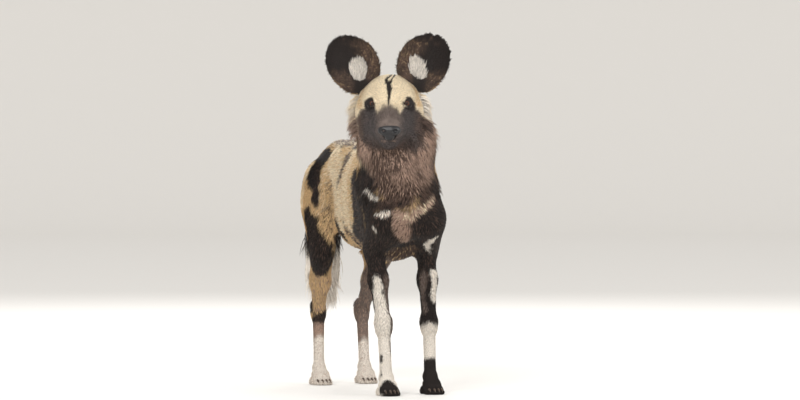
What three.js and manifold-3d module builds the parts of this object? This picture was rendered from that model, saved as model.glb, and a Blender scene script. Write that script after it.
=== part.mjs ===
// An African wild dog, life size, standing square and alert with its head turned a little to its right.
// Millimetres, +Z up, the dog faces -Y, its left side is +X, and the floor is Z = 0.
import * as THREE from "three";
import { mergeVertices } from "three/addons/utils/BufferGeometryUtils.js";
import Module from "manifold-3d";

const wasm = await Module();
wasm.setup();

// Driving dimensions
const GAP = 0.3; // clearance between neighbouring pieces
const WELD = 0.02; // points closer than this are one
const BLOCK = 1600; // side of the block that stands for half of all space
const HEAD_TURN = 17; // degrees the face is turned to the dog's right
const EYE = { height: 670, spacing: 80, radius: 12.5, wide: 14, high: 9, inset: 8 };
const LID = { half: 12.6, rise: 8, slant: 2.2, drop: 0.5, lower: -0.75, thick: 3, deep: 3.4, clear: 1.2 };
const MOUTH = { half: 37, corner: -24, reach: 72, height: -72, sag: 6, curl: 3, wide: 7, open: 1.6 };
const LIP = { above: 5, thick: 3.4, deep: 3, sunk: 1.4 }; // the fold of the upper lip over the mouth
const CHEEK_LOCKS = { perSide: 9, top: 22, step: 13, shortest: 36, longest: 46, width: 19, flat: 0.36 };
const NECK_LOCKS = { rows: 2, perRow: 7, top: 578, step: 34, length: 52, width: 24, flat: 0.34 };
const BRUSH_LOCKS = { rings: 6, perRing: 6, top: 388, step: 24, length: 106, width: 22, flat: 0.34 };
const EAR = { wall: 4, depth: 34, middle: [62, 80], foot: [55, 50], rimPoints: 28 };
const EAR_LEAN = { left: 0, right: 7 }; // degrees each ear leans outwards about its foot
const CLAW = { sides: 4, length: 10, radii: [3.4, 3.6, 2.9, 0.9] };
const COLOURS = {
  black: 0x2a211d,
  brown: 0x4a3a31,
  tan: 0xc9a06a,
  cream: 0xe9d5b4,
  white: 0xeee4da,
  nose: 0x26262b,
  iris: 0x6e3a1c,
  claw: 0x2b2522,
};
const ROUGHNESS = { fur: 0.9, nose: 0.45, eye: 0.1, claw: 0.5 };
const SIDES = [-1, 1]; // right and left

const V = (x, y, z) => new THREE.Vector3(x, y, z);
const turn = THREE.MathUtils.degToRad(HEAD_TURN);
const eyeMid = V(-51, -45, EYE.height);
const headLeft = V(Math.cos(turn), -Math.sin(turn), 0);
const headBack = V(Math.sin(turn), Math.cos(turn), 0);
const up = V(0, 0, 1);
const headFrame = new THREE.Matrix4().makeBasis(headLeft, headBack, up).setPosition(eyeMid);

// A point given in the head's own frame: x to its left, y to its back, z up, from between the eyes.
const H = (x, y, z) => V(x, y, z).applyMatrix4(headFrame);

// The flesh is a smooth union of rounded cones. Each runs from a to b with radii ra and rb, and narrow
// squeezes it sideways.
const cone = (a, b, ra, rb, narrow = 1) => ({ a, b, ra, rb, narrow, ab: b.clone().sub(a) });

function coneDistance(c, p) {
  const off = p.clone().sub(c.a);
  const t = THREE.MathUtils.clamp(off.dot(c.ab) / (c.ab.lengthSq() || 1), 0, 1);
  off.addScaledVector(c.ab, -t);
  off.x /= c.narrow;
  return off.length() - (c.ra + (c.rb - c.ra) * t);
}

function smoothMin(a, b, k) {
  const h = Math.max(k - Math.abs(a - b), 0) / k;
  return Math.min(a, b) - (h * h * k) / 4;
}

const groupDistance = (g, p) => g.cones.reduce((d, c) => smoothMin(d, coneDistance(c, p), g.blend), 1e3);
const bodyDistance = (groups, p) => groups.reduce((d, g) => smoothMin(d, groupDistance(g, p), g.join), 1e3);

const torsoFlesh = {
  blend: 34,
  join: 30,
  cones: [
    cone(V(-12, -14, 452), V(0, 150, 462), 80, 106, 0.78),
    cone(V(-14, -32, 414), V(-2, 110, 404), 60, 92, 0.68),
    cone(V(0, 70, 402), V(0, 310, 408), 90, 82, 0.88),
    cone(V(-4, 40, 528), V(0, 160, 522), 64, 66, 0.66),
    cone(V(0, 150, 480), V(0, 390, 492), 98, 80, 0.8),
    cone(V(0, 190, 438), V(0, 390, 458), 96, 74, 0.72),
    cone(V(0, 390, 502), V(-3, 530, 490), 80, 76, 0.74),
    cone(V(-3, 490, 528), V(-4, 585, 506), 50, 36, 0.9),
  ],
};
const neckFlesh = {
  blend: 34,
  join: 56,
  cones: [
    cone(V(-6, 46, 500), V(-16, 20, 580), 78, 72, 1.04),
    cone(V(-16, 20, 580), V(-30, 10, 648), 72, 62, 1.14),
    cone(V(-12, -34, 466), V(-26, -22, 556), 54, 52, 1.2),
  ],
};
const headFlesh = {
  blend: 22,
  join: 20,
  cones: [
    cone(H(0, 54, 2), H(0, 24, 10), 60, 54, 1.16),
    cone(H(0, 8, 22), H(0, -8, 8), 38, 30, 1.1),
    cone(H(0, 68, -20), H(0, 40, -44), 58, 54, 1.26),
    ...SIDES.flatMap((s) => [
      cone(H(40 * s, 24, -14), H(26 * s, -22, -36), 38, 24),
      cone(H(36 * s, 30, -50), H(20 * s, -20, -68), 38, 24),
      cone(H(22 * s, -17, 15), H(38 * s, -8, 14), 14, 15),
      cone(H(14 * s, -52, -58), H(15 * s, -82, -62), 24, 17),
    ]),
    cone(H(0, -6, -26), H(0, -72, -50), 40, 27, 1.06),
    cone(H(0, -14, -6), H(0, -86, -44), 22, 16, 1.05),
    cone(H(0, 6, -80), H(0, -66, -88), 32, 16, 1.12),
  ],
};

// Joints of each limb, from the top down. side is +1 for the left.
const LIMBS = {
  left: {
    side: 1,
    scapula: V(42, 62, 548),
    shoulder: V(50, -36, 408),
    elbow: V(66, 48, 334),
    wrist: V(66, 26, 160),
    forefoot: V(65, 10, 0),
    hip: V(58, 505, 466),
    knee: V(74, 432, 320),
    hock: V(62, 556, 176),
    hindfoot: V(57, 514, 0),
  },
  right: {
    side: -1,
    scapula: V(-48, 60, 548),
    shoulder: V(-68, -44, 412),
    elbow: V(-60, 42, 334),
    wrist: V(-54, -8, 160),
    forefoot: V(-52, -26, 0),
    hip: V(-58, 500, 466),
    knee: V(-80, 412, 320),
    hock: V(-56, 524, 176),
    hindfoot: V(-66, 480, 0),
  },
};
const between = (a, b, t) => a.clone().lerp(b, t);
const moved = (a, x, y, z) => a.clone().add(V(x, y, z));

function forelimbFlesh({ side, scapula, shoulder, elbow, wrist }) {
  return {
    blend: 20,
    join: 26,
    cones: [
      cone(moved(scapula, 0, 0, -14), shoulder, 34, 41, 0.7),
      cone(shoulder, elbow, 42, 29, 0.74),
      cone(moved(elbow, -8 * side, 18, 120), moved(elbow, 0, 4, 18), 46, 27, 0.6),
      cone(V(elbow.x * 0.5, -62, 402), between(shoulder, elbow, 0.8), 40, 28, 0.9),
      cone(elbow, between(elbow, wrist, 0.4), 26, 23, 0.86),
      cone(between(elbow, wrist, 0.4), wrist, 23, 16.5, 0.9),
      cone(moved(wrist, 0, 2, 6), moved(wrist, 0, 0, -8), 18.5, 17.5),
    ],
  };
}

function hindlimbFlesh({ side, hip, knee, hock }) {
  return {
    blend: 24,
    join: 28,
    cones: [
      cone(hip, knee, 70, 37, 0.54),
      cone(moved(hip, 4 * side, 4, -36), moved(knee, 0, 16, 40), 58, 40, 0.66),
      cone(moved(hip, -8 * side, 54, -6), between(knee, hock, 0.35), 50, 24, 0.62),
      cone(moved(hip, -8 * side, -60, 0), moved(knee, 0, -4, 30), 42, 34, 0.6),
      cone(moved(hip, -16 * side, -112, -58), moved(knee, -8 * side, -18, 36), 34, 26, 0.6),
      cone(knee, between(knee, hock, 0.5), 34, 25, 0.78),
      cone(between(knee, hock, 0.5), hock, 25, 15.5, 0.84),
      cone(moved(hock, 0, 8, 10), moved(hock, 0, 2, -14), 15, 17, 0.86),
    ],
  };
}

// The cannon, pad and four toes of one foot. Toes fan out from the pad.
const TOES = [-1.5, -0.5, 0.5, 1.5];
const OUTER_TOE = 0.8; // as a share of the middle toes' length
function footFlesh(top, foot, cannonRadius, length) {
  const knuckle = moved(foot, 0, 4, 40);
  const toes = TOES.map((k) => {
    const reach = length * (Math.abs(k) < 1 ? 1 : OUTER_TOE);
    const tip = moved(foot, k * 9.8, -reach, 5);
    return cone(moved(foot, k * 7.4, -6, 24), tip, 9.8, 8.9);
  });
  return {
    blend: 7,
    join: 8,
    toes,
    cones: [
      cone(top, knuckle, cannonRadius, cannonRadius - 1.5),
      cone(knuckle, moved(foot, 0, -8, 26), cannonRadius, 15.5, 1.1),
      cone(moved(foot, -9, 10, 8), moved(foot, 9, 10, 8), 13.5, 13.5),
      cone(moved(foot, 0, 10, 6), moved(foot, 0, -24, 6), 11, 11, 1.45),
      ...toes,
    ],
  };
}

const tailFlesh = {
  blend: 16,
  join: 18,
  cones: [
    cone(V(-4, 560, 520), V(-6, 622, 482), 30, 24),
    cone(V(-6, 622, 482), V(-8, 648, 410), 24, 20),
    cone(V(-8, 648, 410), V(-8, 652, 330), 20, 17),
    cone(V(-8, 652, 330), V(-8, 648, 262), 17, 9),
  ],
};

const limbFlesh = Object.values(LIMBS).flatMap((j) => [forelimbFlesh(j), hindlimbFlesh(j)]);
const feet = Object.entries(LIMBS).flatMap(([name, j]) => [
  { end: "fore", name, top: j.wrist, ground: j.forefoot, flesh: footFlesh(j.wrist, j.forefoot, 15.5, 36) },
  { end: "hind", name, top: j.hock, ground: j.hindfoot, flesh: footFlesh(j.hock, j.hindfoot, 14.5, 33) },
]);
const trunk = [torsoFlesh, neckFlesh, headFlesh, ...limbFlesh, tailFlesh];
const whole = [...trunk, ...feet.map((f) => f.flesh)];

// A closed solid from a geometry whose faces share corners once the seams are welded.
function solid(geometry, weld = 1e-4) {
  const g = geometry.clone();
  g.deleteAttribute("normal");
  g.deleteAttribute("uv");
  const merged = mergeVertices(g, weld);
  const corners = Array.from(merged.index.array);
  const kept = corners.flatMap((a, i) => {
    if (i % 3) return [];
    const [b, c] = [corners[i + 1], corners[i + 2]];
    return a === b || b === c || c === a ? [] : [a, b, c];
  });
  return new wasm.Manifold(
    new wasm.Mesh({
      numProp: 3,
      vertProperties: new Float32Array(merged.attributes.position.array),
      triVerts: new Uint32Array(kept),
    }),
  );
}

function geometryOf(manifold) {
  const mesh = manifold.getMesh();
  const g = new THREE.BufferGeometry();
  g.setAttribute("position", new THREE.BufferAttribute(new Float32Array(mesh.vertProperties), 3));
  g.setIndex(new THREE.BufferAttribute(new Uint32Array(mesh.triVerts), 1));
  return g;
}

// The largest body of a solid, after points closer than the weld are joined.
function largest(manifold) {
  const biggest = (m) => m.decompose().sort((a, b) => b.volume() - a.volume())[0];
  return biggest(solid(geometryOf(biggest(manifold)), WELD));
}

// A closed grid of rings: rings[i][k] are points, and each end is capped round its own middle.
function closedRings(rings) {
  const sides = rings[0].length;
  const points = rings.flat();
  const faces = [];
  for (let i = 0; i + 1 < rings.length; i++) {
    for (let k = 0; k < sides; k++) {
      const a = i * sides + k;
      const b = i * sides + ((k + 1) % sides);
      faces.push([a, b, b + sides], [a, b + sides, a + sides]);
    }
  }
  const middle = (ring) => ring.reduce((m, p) => m.add(p), V(0, 0, 0)).divideScalar(sides);
  const first = points.push(middle(rings[0])) - 1;
  const last = points.push(middle(rings.at(-1))) - 1;
  const end = (rings.length - 1) * sides;
  for (let k = 0; k < sides; k++) {
    const next = (k + 1) % sides;
    faces.push([first, next, k], [last, end + k, end + next]);
  }
  const g = new THREE.BufferGeometry().setFromPoints(points);
  g.setIndex(faces.flat());
  return g;
}

// How far the flesh reaches from an inside point along a direction, up to a limit.
function reach(groups, from, direction, limit, grow = 0) {
  const at = (r) => bodyDistance(groups, from.clone().addScaledVector(direction, r)) - grow;
  const step = Math.max(2.5, limit / 40); // fine enough not to leap a gap between two legs
  let inside = 0;
  while (inside < limit && at(inside + step) < 0) inside += step;
  if (inside >= limit) return limit;
  let outside = inside + step;
  for (let halvings = 0; halvings < 12; halvings++) {
    const mid = (inside + outside) / 2;
    if (at(mid) < 0) inside = mid;
    else outside = mid;
  }
  return inside;
}

// Skins the flesh as seen from a spine: rings square to it, out to where the flesh ends. Rings crowd
// towards both ends, and an end may finish in a dome of rings that fan out from its last point. With an
// axis given, the rings are all square to that instead, so that they can't cross on a bent limb.
const crowded = (t) => 0.35 * t + 0.65 * (0.5 - 0.5 * Math.cos(Math.PI * t));
function skinned(groups, spinePoints, options) {
  const { rings, sides, limit, domes = [0, 0], start = 0, spread = crowded, grow = 0, axis } = options;
  const spine = new THREE.CatmullRomCurve3(spinePoints);
  const stations = Array.from({ length: rings }, (_, i) => ({ t: spread(i / (rings - 1)), fan: 0 }));
  const fans = (count) => Array.from({ length: count }, (_, i) => (0.47 * Math.PI * (i + 1)) / count);
  const first = fans(domes[0]).map((fan) => ({ t: 0, fan: -fan }));
  const last = fans(domes[1]).map((fan) => ({ t: 1, fan }));
  const made = [...first.toReversed(), ...stations, ...last].map(({ t, fan }) => {
    const centre = spine.getPointAt(t);
    const tangent = axis ?? spine.getTangentAt(t);
    const guide = Math.abs(tangent.z) > 0.75 ? V(0, 1, 0) : up;
    const across = new THREE.Vector3().crossVectors(guide, tangent).normalize();
    const over = new THREE.Vector3().crossVectors(tangent, across);
    return Array.from({ length: sides }, (_, k) => {
      const angle = start + (2 * Math.PI * k) / sides;
      const direction = across
        .clone()
        .multiplyScalar(Math.cos(angle) * Math.cos(fan))
        .addScaledVector(over, Math.sin(angle) * Math.cos(fan))
        .addScaledVector(tangent, Math.sin(fan));
      return centre.clone().addScaledVector(direction, reach(groups, centre, direction, limit, grow));
    });
  });
  return solid(closedRings(made));
}

// Everything on the side of a plane that its normal points to, as a very large block.
function side(point, normal) {
  const g = new THREE.BoxGeometry(BLOCK, BLOCK, BLOCK).translate(0, 0, BLOCK / 2);
  const q = new THREE.Quaternion().setFromUnitVectors(V(0, 0, 1), normal.clone().normalize());
  return solid(g.applyQuaternion(q).translate(point.x, point.y, point.z));
}
const plane = (at, to) => ({ at, to: to.normalize() });
const shifted = (cut, by) => cut.at.clone().addScaledVector(cut.to, by);
const beyond = (cut) => side(shifted(cut, GAP / 2), cut.to);
const before = (cut) => side(shifted(cut, -GAP / 2), cut.to.clone().negate());
const both = (solids) => solids.reduce((a, b) => a.intersect(b));
const fused = (solids) => solids.reduce((a, b) => a.add(b));

// The cuts that part the body. Each points away from the torso.
const neckCut = plane(V(-10, -6, 520), V(-0.1, -0.72, 0.9));
const headCut = plane(H(0, 8, -106), V(-0.2, -0.7, 0.69));
const tailCut = plane(V(-4, 596, 506), V(0, 0.86, -0.5));
const brushCut = plane(V(-8, 650, 398), V(0, 0, -1));
const shoulderCuts = (j) => [
  plane(V(j.side > 0 ? 40 : -54, 0, 345), V(j.side, 0, -0.19)),
  plane(V(0, j.elbow.y + 62, 400), V(0, -1, -0.05)),
  plane(V(0, 0, 572), V(0, 0, -1)),
];
const haunchCuts = (j) => [
  plane(V(12 * j.side, 0, 345), V(j.side, 0, -0.24)),
  plane(V(0, j.knee.y - 45, 400), V(0, 1, -0.15)),
];
const elbowCut = (j) => plane(moved(j.elbow, 0, 0, -34), V(0, -0.1, -1));
const wristCut = (j) => plane(moved(j.wrist, 0, 0, -20), V(0, 0, -1));
const kneeCut = (j) => plane(between(j.knee, j.hock, 0.16), j.hock.clone().sub(j.knee));
const hockCut = (j) => plane(moved(j.hock, 0, 0, -22), V(0, 0.1, -1));

// A flat lock of hair: four sides, widest near its root, bent towards its droop and run out to a point.
function lock(root, direction, droop, length, width, flat) {
  const g = new THREE.ConeGeometry(width / 2, length, 4, 3).translate(0, length / 2, 0);
  const position = g.attributes.position;
  const dir = direction.clone().normalize();
  const across = new THREE.Vector3().crossVectors(dir, droop).normalize();
  const face = new THREE.Vector3().crossVectors(across, dir).normalize();
  for (let i = 0; i < position.count; i++) {
    const t = position.getY(i) / length;
    const fuller = 1 + 0.9 * Math.sin(Math.PI * t);
    const p = root
      .clone()
      .addScaledVector(dir, position.getY(i))
      .addScaledVector(droop, length * 0.32 * t * t)
      .addScaledVector(across, position.getX(i) * fuller)
      .addScaledVector(face, position.getZ(i) * flat * fuller);
    position.setXYZ(i, p.x, p.y, p.z);
  }
  return solid(g);
}

// Repeatable small variations.
function chance(seed) {
  let state = seed;
  return (low, high) => {
    state = (state * 16807) % 2147483647;
    return low + ((high - low) * state) / 2147483647;
  };
}

// Trunk
const TORSO_SPINE = [
  V(-10, 6, 448),
  V(-4, 90, 458),
  V(0, 180, 466),
  V(0, 330, 480),
  V(-2, 450, 496),
  V(-4, 540, 500),
];
function torso() {
  const body = skinned(trunk, TORSO_SPINE, { rings: 18, sides: 30, limit: 165, domes: [6, 5] });
  const limbs = Object.values(LIMBS).flatMap((j) => [shoulderCuts(j), haunchCuts(j)]);
  const taken = limbs.map((cuts) => both(cuts.map((c) => side(shifted(c, -GAP / 2), c.to))));
  return taken.reduce((b, region) => b.subtract(region), both([body, before(neckCut), before(tailCut)]));
}

const NECK_SPINE = [V(-8, 60, 440), V(-14, 20, 540), V(-30, 4, 620), V(-44, -12, 700)];
const NECK_MESH = { rings: 14, sides: 30, limit: 110 };
const neckSkin = (grow) => skinned(trunk, NECK_SPINE, { ...NECK_MESH, grow });
function neck() {
  const column = fused([neckSkin(0), ...neckLocks()]);
  const shoulders = Object.values(LIMBS).map(shoulderCuts);
  const taken = shoulders.map((cuts) => both(cuts.map((c) => side(shifted(c, -GAP / 2), c.to))));
  return taken.reduce((b, region) => b.subtract(region), both([column, beyond(neckCut), before(headCut)]));
}

// The neck's ruff: rows of locks round the front and sides of the throat, lying down towards the breast.
function neckLocks() {
  const { rows, perRow, top, step, length, width, flat } = NECK_LOCKS;
  const vary = chance(23);
  const locks = [];
  for (let row = 0; row < rows; row++) {
    for (let i = 0; i < perRow; i++) {
      const share = (i + 0.5 * (row % 2)) / (perRow - 0.5);
      const angle = turn + Math.PI * (share - 0.5) * 1.15;
      const out = V(Math.sin(angle), -Math.cos(angle), 0);
      const axis = V(-24 + row * 6, 8, top - row * step + vary(-6, 6));
      const skinAt = reach(trunk, axis, out, 110);
      const root = axis.clone().addScaledVector(out, skinAt - width * 0.42);
      const direction = out.clone().multiplyScalar(0.62).add(V(0, 0, -1));
      const droop = out.clone().multiplyScalar(-0.7);
      locks.push(lock(root, direction, droop, length * vary(0.85, 1.15), width, flat));
    }
  }
  return locks;
}

function tail() {
  const spine = tailFlesh.cones.map((c) => c.a).concat([tailFlesh.cones.at(-1).b.clone().add(V(0, 0, -8))]);
  return skinned(trunk, [V(-4, 540, 520), ...spine.slice(1)], { rings: 15, sides: 12, limit: 42 });
}

function brush(core) {
  const { rings, perRing, top, step, length, width, flat } = BRUSH_LOCKS;
  const vary = chance(11);
  const locks = [];
  for (let i = 0; i < rings; i++) {
    for (let k = 0; k < perRing; k++) {
      const angle = (2 * Math.PI * (k + 0.5 * (i % 2))) / perRing + vary(-0.12, 0.12);
      const out = V(Math.cos(angle), Math.sin(angle), 0);
      const root = V(-8, 651, top - i * step + vary(-4, 4)).addScaledVector(out, 8);
      const lean = i === rings - 1 ? 0.24 : 0.62;
      const direction = out.clone().multiplyScalar(lean).add(V(0, 0, -1));
      const droop = out.clone().multiplyScalar(-0.6);
      locks.push(lock(root, direction, droop, length * vary(0.85, 1.12), width, flat));
    }
  }
  return fused([core, ...locks]);
}

// Head
function tube(points, section, steps) {
  const curve = new THREE.CatmullRomCurve3(points);
  return solid(new THREE.ExtrudeGeometry(section, { steps, extrudePath: curve }));
}

function ovalSection(w, h) {
  const corners = new THREE.EllipseCurve(0, 0, w, h).getPoints(6);
  return new THREE.Shape(corners.slice(0, 6));
}

const headAxes = new THREE.Matrix4().extractRotation(headFrame);
function ball(centre, x, y, z, wide, high) {
  const g = new THREE.SphereGeometry(1, wide, high).rotateX(Math.PI / 2).scale(x, y, z);
  return solid(g.applyMatrix4(headAxes).translate(centre.x, centre.y, centre.z));
}

// Each eyeball sits part way into the skin of the face.
function eyeAt(s) {
  const within = H((s * EYE.spacing) / 2, 30, 0);
  const skinAt = reach(trunk, within, headBack.clone().negate(), 90);
  return within.addScaledVector(headBack, EYE.inset - skinAt);
}
const eyeball = (s, radius) => ball(eyeAt(s), radius, radius, radius, EYE.wide, EYE.high);

// The almond of one lid, raised round the eye, from its inner to its outer corner.
function lid(s, rise) {
  const over = EYE.radius + LID.clear;
  const points = [-1, -0.6, -0.2, 0.25, 0.65, 1].map((t) => {
    const x = LID.half * t;
    const z = rise * LID.rise * (1 - t * t) + t * LID.slant - LID.drop;
    const y = -Math.sqrt(Math.max(3, over * over - x * x - z * z));
    return eyeAt(s).addScaledVector(headLeft, s * x).addScaledVector(headBack, y).addScaledVector(up, z);
  });
  return tube(points, ovalSection(LID.thick, LID.deep), 12);
}

// A path round the front of the muzzle from one corner of the mouth to the other.
function mouthLine(steps) {
  return steps.map((t) => {
    const front = 1 - t * t;
    const y = MOUTH.corner - MOUTH.reach * Math.pow(front, 0.62);
    const z = MOUTH.height - MOUTH.sag * front + MOUTH.curl * Math.cos(3 * Math.PI * t);
    return H(t * MOUTH.half, y, z);
  });
}

// The same path raised to the upper lip and laid on the skin of the muzzle.
function lipLine(steps) {
  return mouthLine(steps).map((p) => {
    const within = H(0, MOUTH.corner, 0).setZ(p.z + LIP.above);
    const direction = p.clone().setZ(within.z).sub(within).normalize();
    return within.addScaledVector(direction, reach(trunk, within, direction, 110) - LIP.sunk);
  });
}

const HEAD_SPINE = [H(0, 70, -20), H(0, 30, -16), H(0, -10, -30), H(0, -40, -48), H(0, -72, -60)];
const HEAD_MESH = { rings: 17, sides: 32, limit: 125, domes: [5, 6], start: Math.PI / 2 };
const headSkin = (grow) => skinned(trunk, HEAD_SPINE, { ...HEAD_MESH, grow });
function head() {
  const lids = SIDES.flatMap((s) => [lid(s, 1), lid(s, LID.lower)]);
  const lip = tube(lipLine([-0.9, -0.6, -0.28, 0, 0.28, 0.6, 0.9]), ovalSection(LIP.thick, LIP.deep), 14);
  const skull = fused([both([headSkin(0), beyond(headCut)]), ...lids, lip, ...cheekLocks()]);
  const sockets = SIDES.map((s) => eyeball(s, EYE.radius + GAP));
  const mouthPath = mouthLine([-1, -0.8, -0.55, -0.25, 0, 0.25, 0.55, 0.8, 1]);
  const mouth = tube(mouthPath, ovalSection(MOUTH.wide, MOUTH.open), 18);
  return [...sockets, mouth].reduce((h, hole) => h.subtract(hole), skull);
}

// White whiskered ruff that stands out behind each cheek.
function cheekLocks() {
  const { perSide, top, step, shortest, longest, width, flat } = CHEEK_LOCKS;
  const vary = chance(5);
  const locks = [];
  for (const s of SIDES) {
    for (let i = 0; i < perSide; i++) {
      const direction = headLeft.clone().multiplyScalar(s * 0.9).addScaledVector(headBack, 0.75);
      direction.z = -0.45 - 0.05 * i;
      const root = H(s * (62 - Math.abs(i - 3) * 2.5), 40 - i * 2 + (i % 2) * 9, top - i * step);
      const length = vary(shortest, longest) + (s > 0 ? 12 : 0);
      locks.push(lock(root, direction, V(0, 0, -0.5), length, width, flat));
    }
  }
  const behind = both([neckSkin(GAP), side(shifted(headCut, GAP / 2), headCut.to.clone().negate())]);
  return locks.map((l) => l.subtract(behind));
}

// Ears: a wide open bowl. Its rim is a full round that narrows to a foot on the side of the skull.
// Points of the rim as seen from the front of the left ear, from the inner end of the foot upwards.
const EAR_RIM = [
  [17, 68], [17, 98], [33, 132], [62, 154], [97, 161], [126, 146], [140, 115], [136, 80], [117, 48],
  [88, 25], [60, 26], [32, 44],
];
function earSolid(s, lean) {
  const swing = THREE.MathUtils.degToRad(lean);
  const curve = new THREE.CatmullRomCurve3(EAR_RIM.map(([x, z]) => V(x, 0, z)), true);
  const rim = curve.getSpacedPoints(EAR.rimPoints).slice(0, EAR.rimPoints);
  const [deepX, deepZ] = EAR.middle;
  const [footX, footZ] = EAR.foot;
  const sheet = (r, back) =>
    rim.map((p) => {
      const x = deepX + (p.x - deepX) * r;
      const z = deepZ + (p.z - deepZ) * r;
      const bowl = EAR.depth * (1 - r * r) ** 0.8 - 10 * ((x - 78) / 62) ** 2 * r;
      const wall = EAR.wall * (back ? 0.5 : -0.5) * (r < 1 ? 1 : 0.55);
      const leaned = V(x - footX, 0, z - footZ).applyAxisAngle(V(0, 1, 0), swing);
      return H(s * (leaned.x + footX), 40 + bowl + wall + 0.06 * (z - 90), leaned.z + footZ);
    });
  const steps = [0.26, 0.52, 0.75, 0.92, 1];
  const rings = [...steps.map((r) => sheet(r, false)), ...steps.toReversed().map((r) => sheet(r, true))];
  return outward(rings);
}

// A solid through rings that may run either way round.
function outward(rings) {
  const made = solid(closedRings(rings));
  return made.volume() < 0 ? solid(closedRings(rings.map((r) => r.toReversed()))) : made;
}

// A torn notch in the upper rim of the left ear.
function notch(x, z) {
  const w = H(x, 40, z);
  return solid(new THREE.CylinderGeometry(4.2, 0.7, 16, 4).scale(1, 1, 6).translate(w.x, w.y, w.z));
}

// The nose: a broad pad over a narrow stem that runs down to the lip.
function nosePad(grow) {
  return fused([
    ball(H(0, -97, -61), 20.5 + grow, 14 + grow, 15 + grow, 14, 8),
    ball(H(0, -95, -72), 10 + grow, 12 + grow, 12 + grow, 8, 6),
  ]);
}
function nose() {
  const nostrils = SIDES.map((s) => ball(H(s * 10.5, -111, -63), 5.2, 8, 4.2, 8, 6));
  const groove = ball(H(0, -113, -74), 1.3, 6, 12, 6, 4);
  return [...nostrils, groove].reduce((pad, hole) => pad.subtract(hole), nosePad(0));
}

// Limbs
function shoulder(j) {
  const spine = [
    moved(j.scapula, 0, 0, 40),
    between(j.scapula, j.shoulder, 0.45),
    between(j.shoulder, j.elbow, 0.35),
    j.elbow,
    moved(j.elbow, 0, -6, -50),
  ].map((p) => V(p.x, p.y * 0.5 + 12, p.z));
  const arm = skinned(trunk, spine, { rings: 17, sides: 26, limit: 130 });
  return both([arm, ...shoulderCuts(j).map(beyond), before(elbowCut(j)), before(neckCut)]);
}

function forearm(j) {
  const spine = [
    j.elbow,
    between(j.elbow, j.wrist, 0.5),
    moved(j.wrist, 0, 0, 4),
    moved(j.wrist, 0, -2, -34),
  ];
  const arm = skinned(whole, spine, { rings: 10, sides: 14, limit: 50 });
  return both([arm, beyond(elbowCut(j)), before(wristCut(j))]);
}

function thigh(j) {
  const spine = [
    moved(j.hip, 0, 10, 110),
    moved(j.hip, 0, 0, 20),
    between(j.hip, j.knee, 0.5),
    moved(j.knee, 0, 16, 0),
    between(j.knee, j.hock, 0.3),
  ];
  const leg = skinned(trunk, spine, { rings: 14, sides: 26, limit: 150, axis: V(0, 0, -1) });
  return both([leg, ...haunchCuts(j).map(beyond), before(kneeCut(j)), before(tailCut)]);
}

function shank(j) {
  const spine = [
    between(j.knee, j.hock, -0.05),
    between(j.knee, j.hock, 0.5),
    j.hock,
    moved(j.hock, 0, -4, -44),
  ];
  const leg = skinned(whole, spine, { rings: 12, sides: 16, limit: 60 });
  return both([leg, beyond(kneeCut(j)), before(hockCut(j))]);
}

const crowdLow = (t) => 1 - (1 - t) ** 1.5;
const FOOT_MESH = { rings: 12, sides: 18, limit: 60, spread: crowdLow };
function footSkin({ top, ground, flesh }, grow) {
  const spine = [
    moved(top, 0, 0, 10),
    between(top, ground, 0.5),
    moved(ground, 0, -4, 34),
    moved(ground, 0, -10, -2),
  ];
  return skinned([flesh], spine, { ...FOOT_MESH, grow });
}
const foot = (f, cut) => both([footSkin(f, 0), beyond(cut), side(V(0, 0, 0), up)]);

// A curved, blunt claw on the tip of one toe, trimmed to the toe's skin.
function claw(toe, skin) {
  const { sides, length, radii } = CLAW;
  const tip = moved(toe.b, 0, -toe.rb, 6);
  const arc = [V(0, 5, 1), V(0, 0, 1.6), V(0, -length * 0.5, 0.4), V(0, -length, -5)];
  const rings = arc.map((offset, i) =>
    Array.from({ length: sides }, (_, k) => {
      const angle = (-2 * Math.PI * k) / sides;
      const rim = V(radii[i] * 0.8 * Math.cos(angle), 0, radii[i] * Math.sin(angle));
      return rim.add(offset).add(tip);
    }),
  );
  return outward(rings).subtract(skin);
}

// Assembly
const parts = new THREE.Group();
function add(name, manifold, color, roughness = ROUGHNESS.fur) {
  const material = new THREE.MeshStandardMaterial({ color, roughness, metalness: 0 });
  const mesh = new THREE.Mesh(geometryOf(largest(manifold)), material);
  mesh.name = name;
  parts.add(mesh);
}

const headRoom = headSkin(GAP);
const leftEar = [notch(76, 156), notch(103, 156)].reduce((e, n) => e.subtract(n), earSolid(1, EAR_LEAN.left));
add("head", head().subtract(nosePad(GAP)), COLOURS.cream);
add("nose", nose(), COLOURS.nose, ROUGHNESS.nose);
add("eye_left", eyeball(1, EYE.radius), COLOURS.iris, ROUGHNESS.eye);
add("ear_left", leftEar.subtract(headRoom), COLOURS.black);
add("eye_right", eyeball(-1, EYE.radius), COLOURS.iris, ROUGHNESS.eye);
add("ear_right", earSolid(-1, EAR_LEAN.right).subtract(headRoom), COLOURS.black);
add("neck", neck(), COLOURS.brown);
add("torso", torso(), COLOURS.tan);
const wholeTail = tail();
add("tail_base", both([wholeTail, beyond(tailCut), before(brushCut)]), COLOURS.tan);
add("tail_brush", both([brush(both([wholeTail, beyond(brushCut)])), beyond(brushCut)]), COLOURS.white);

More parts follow.
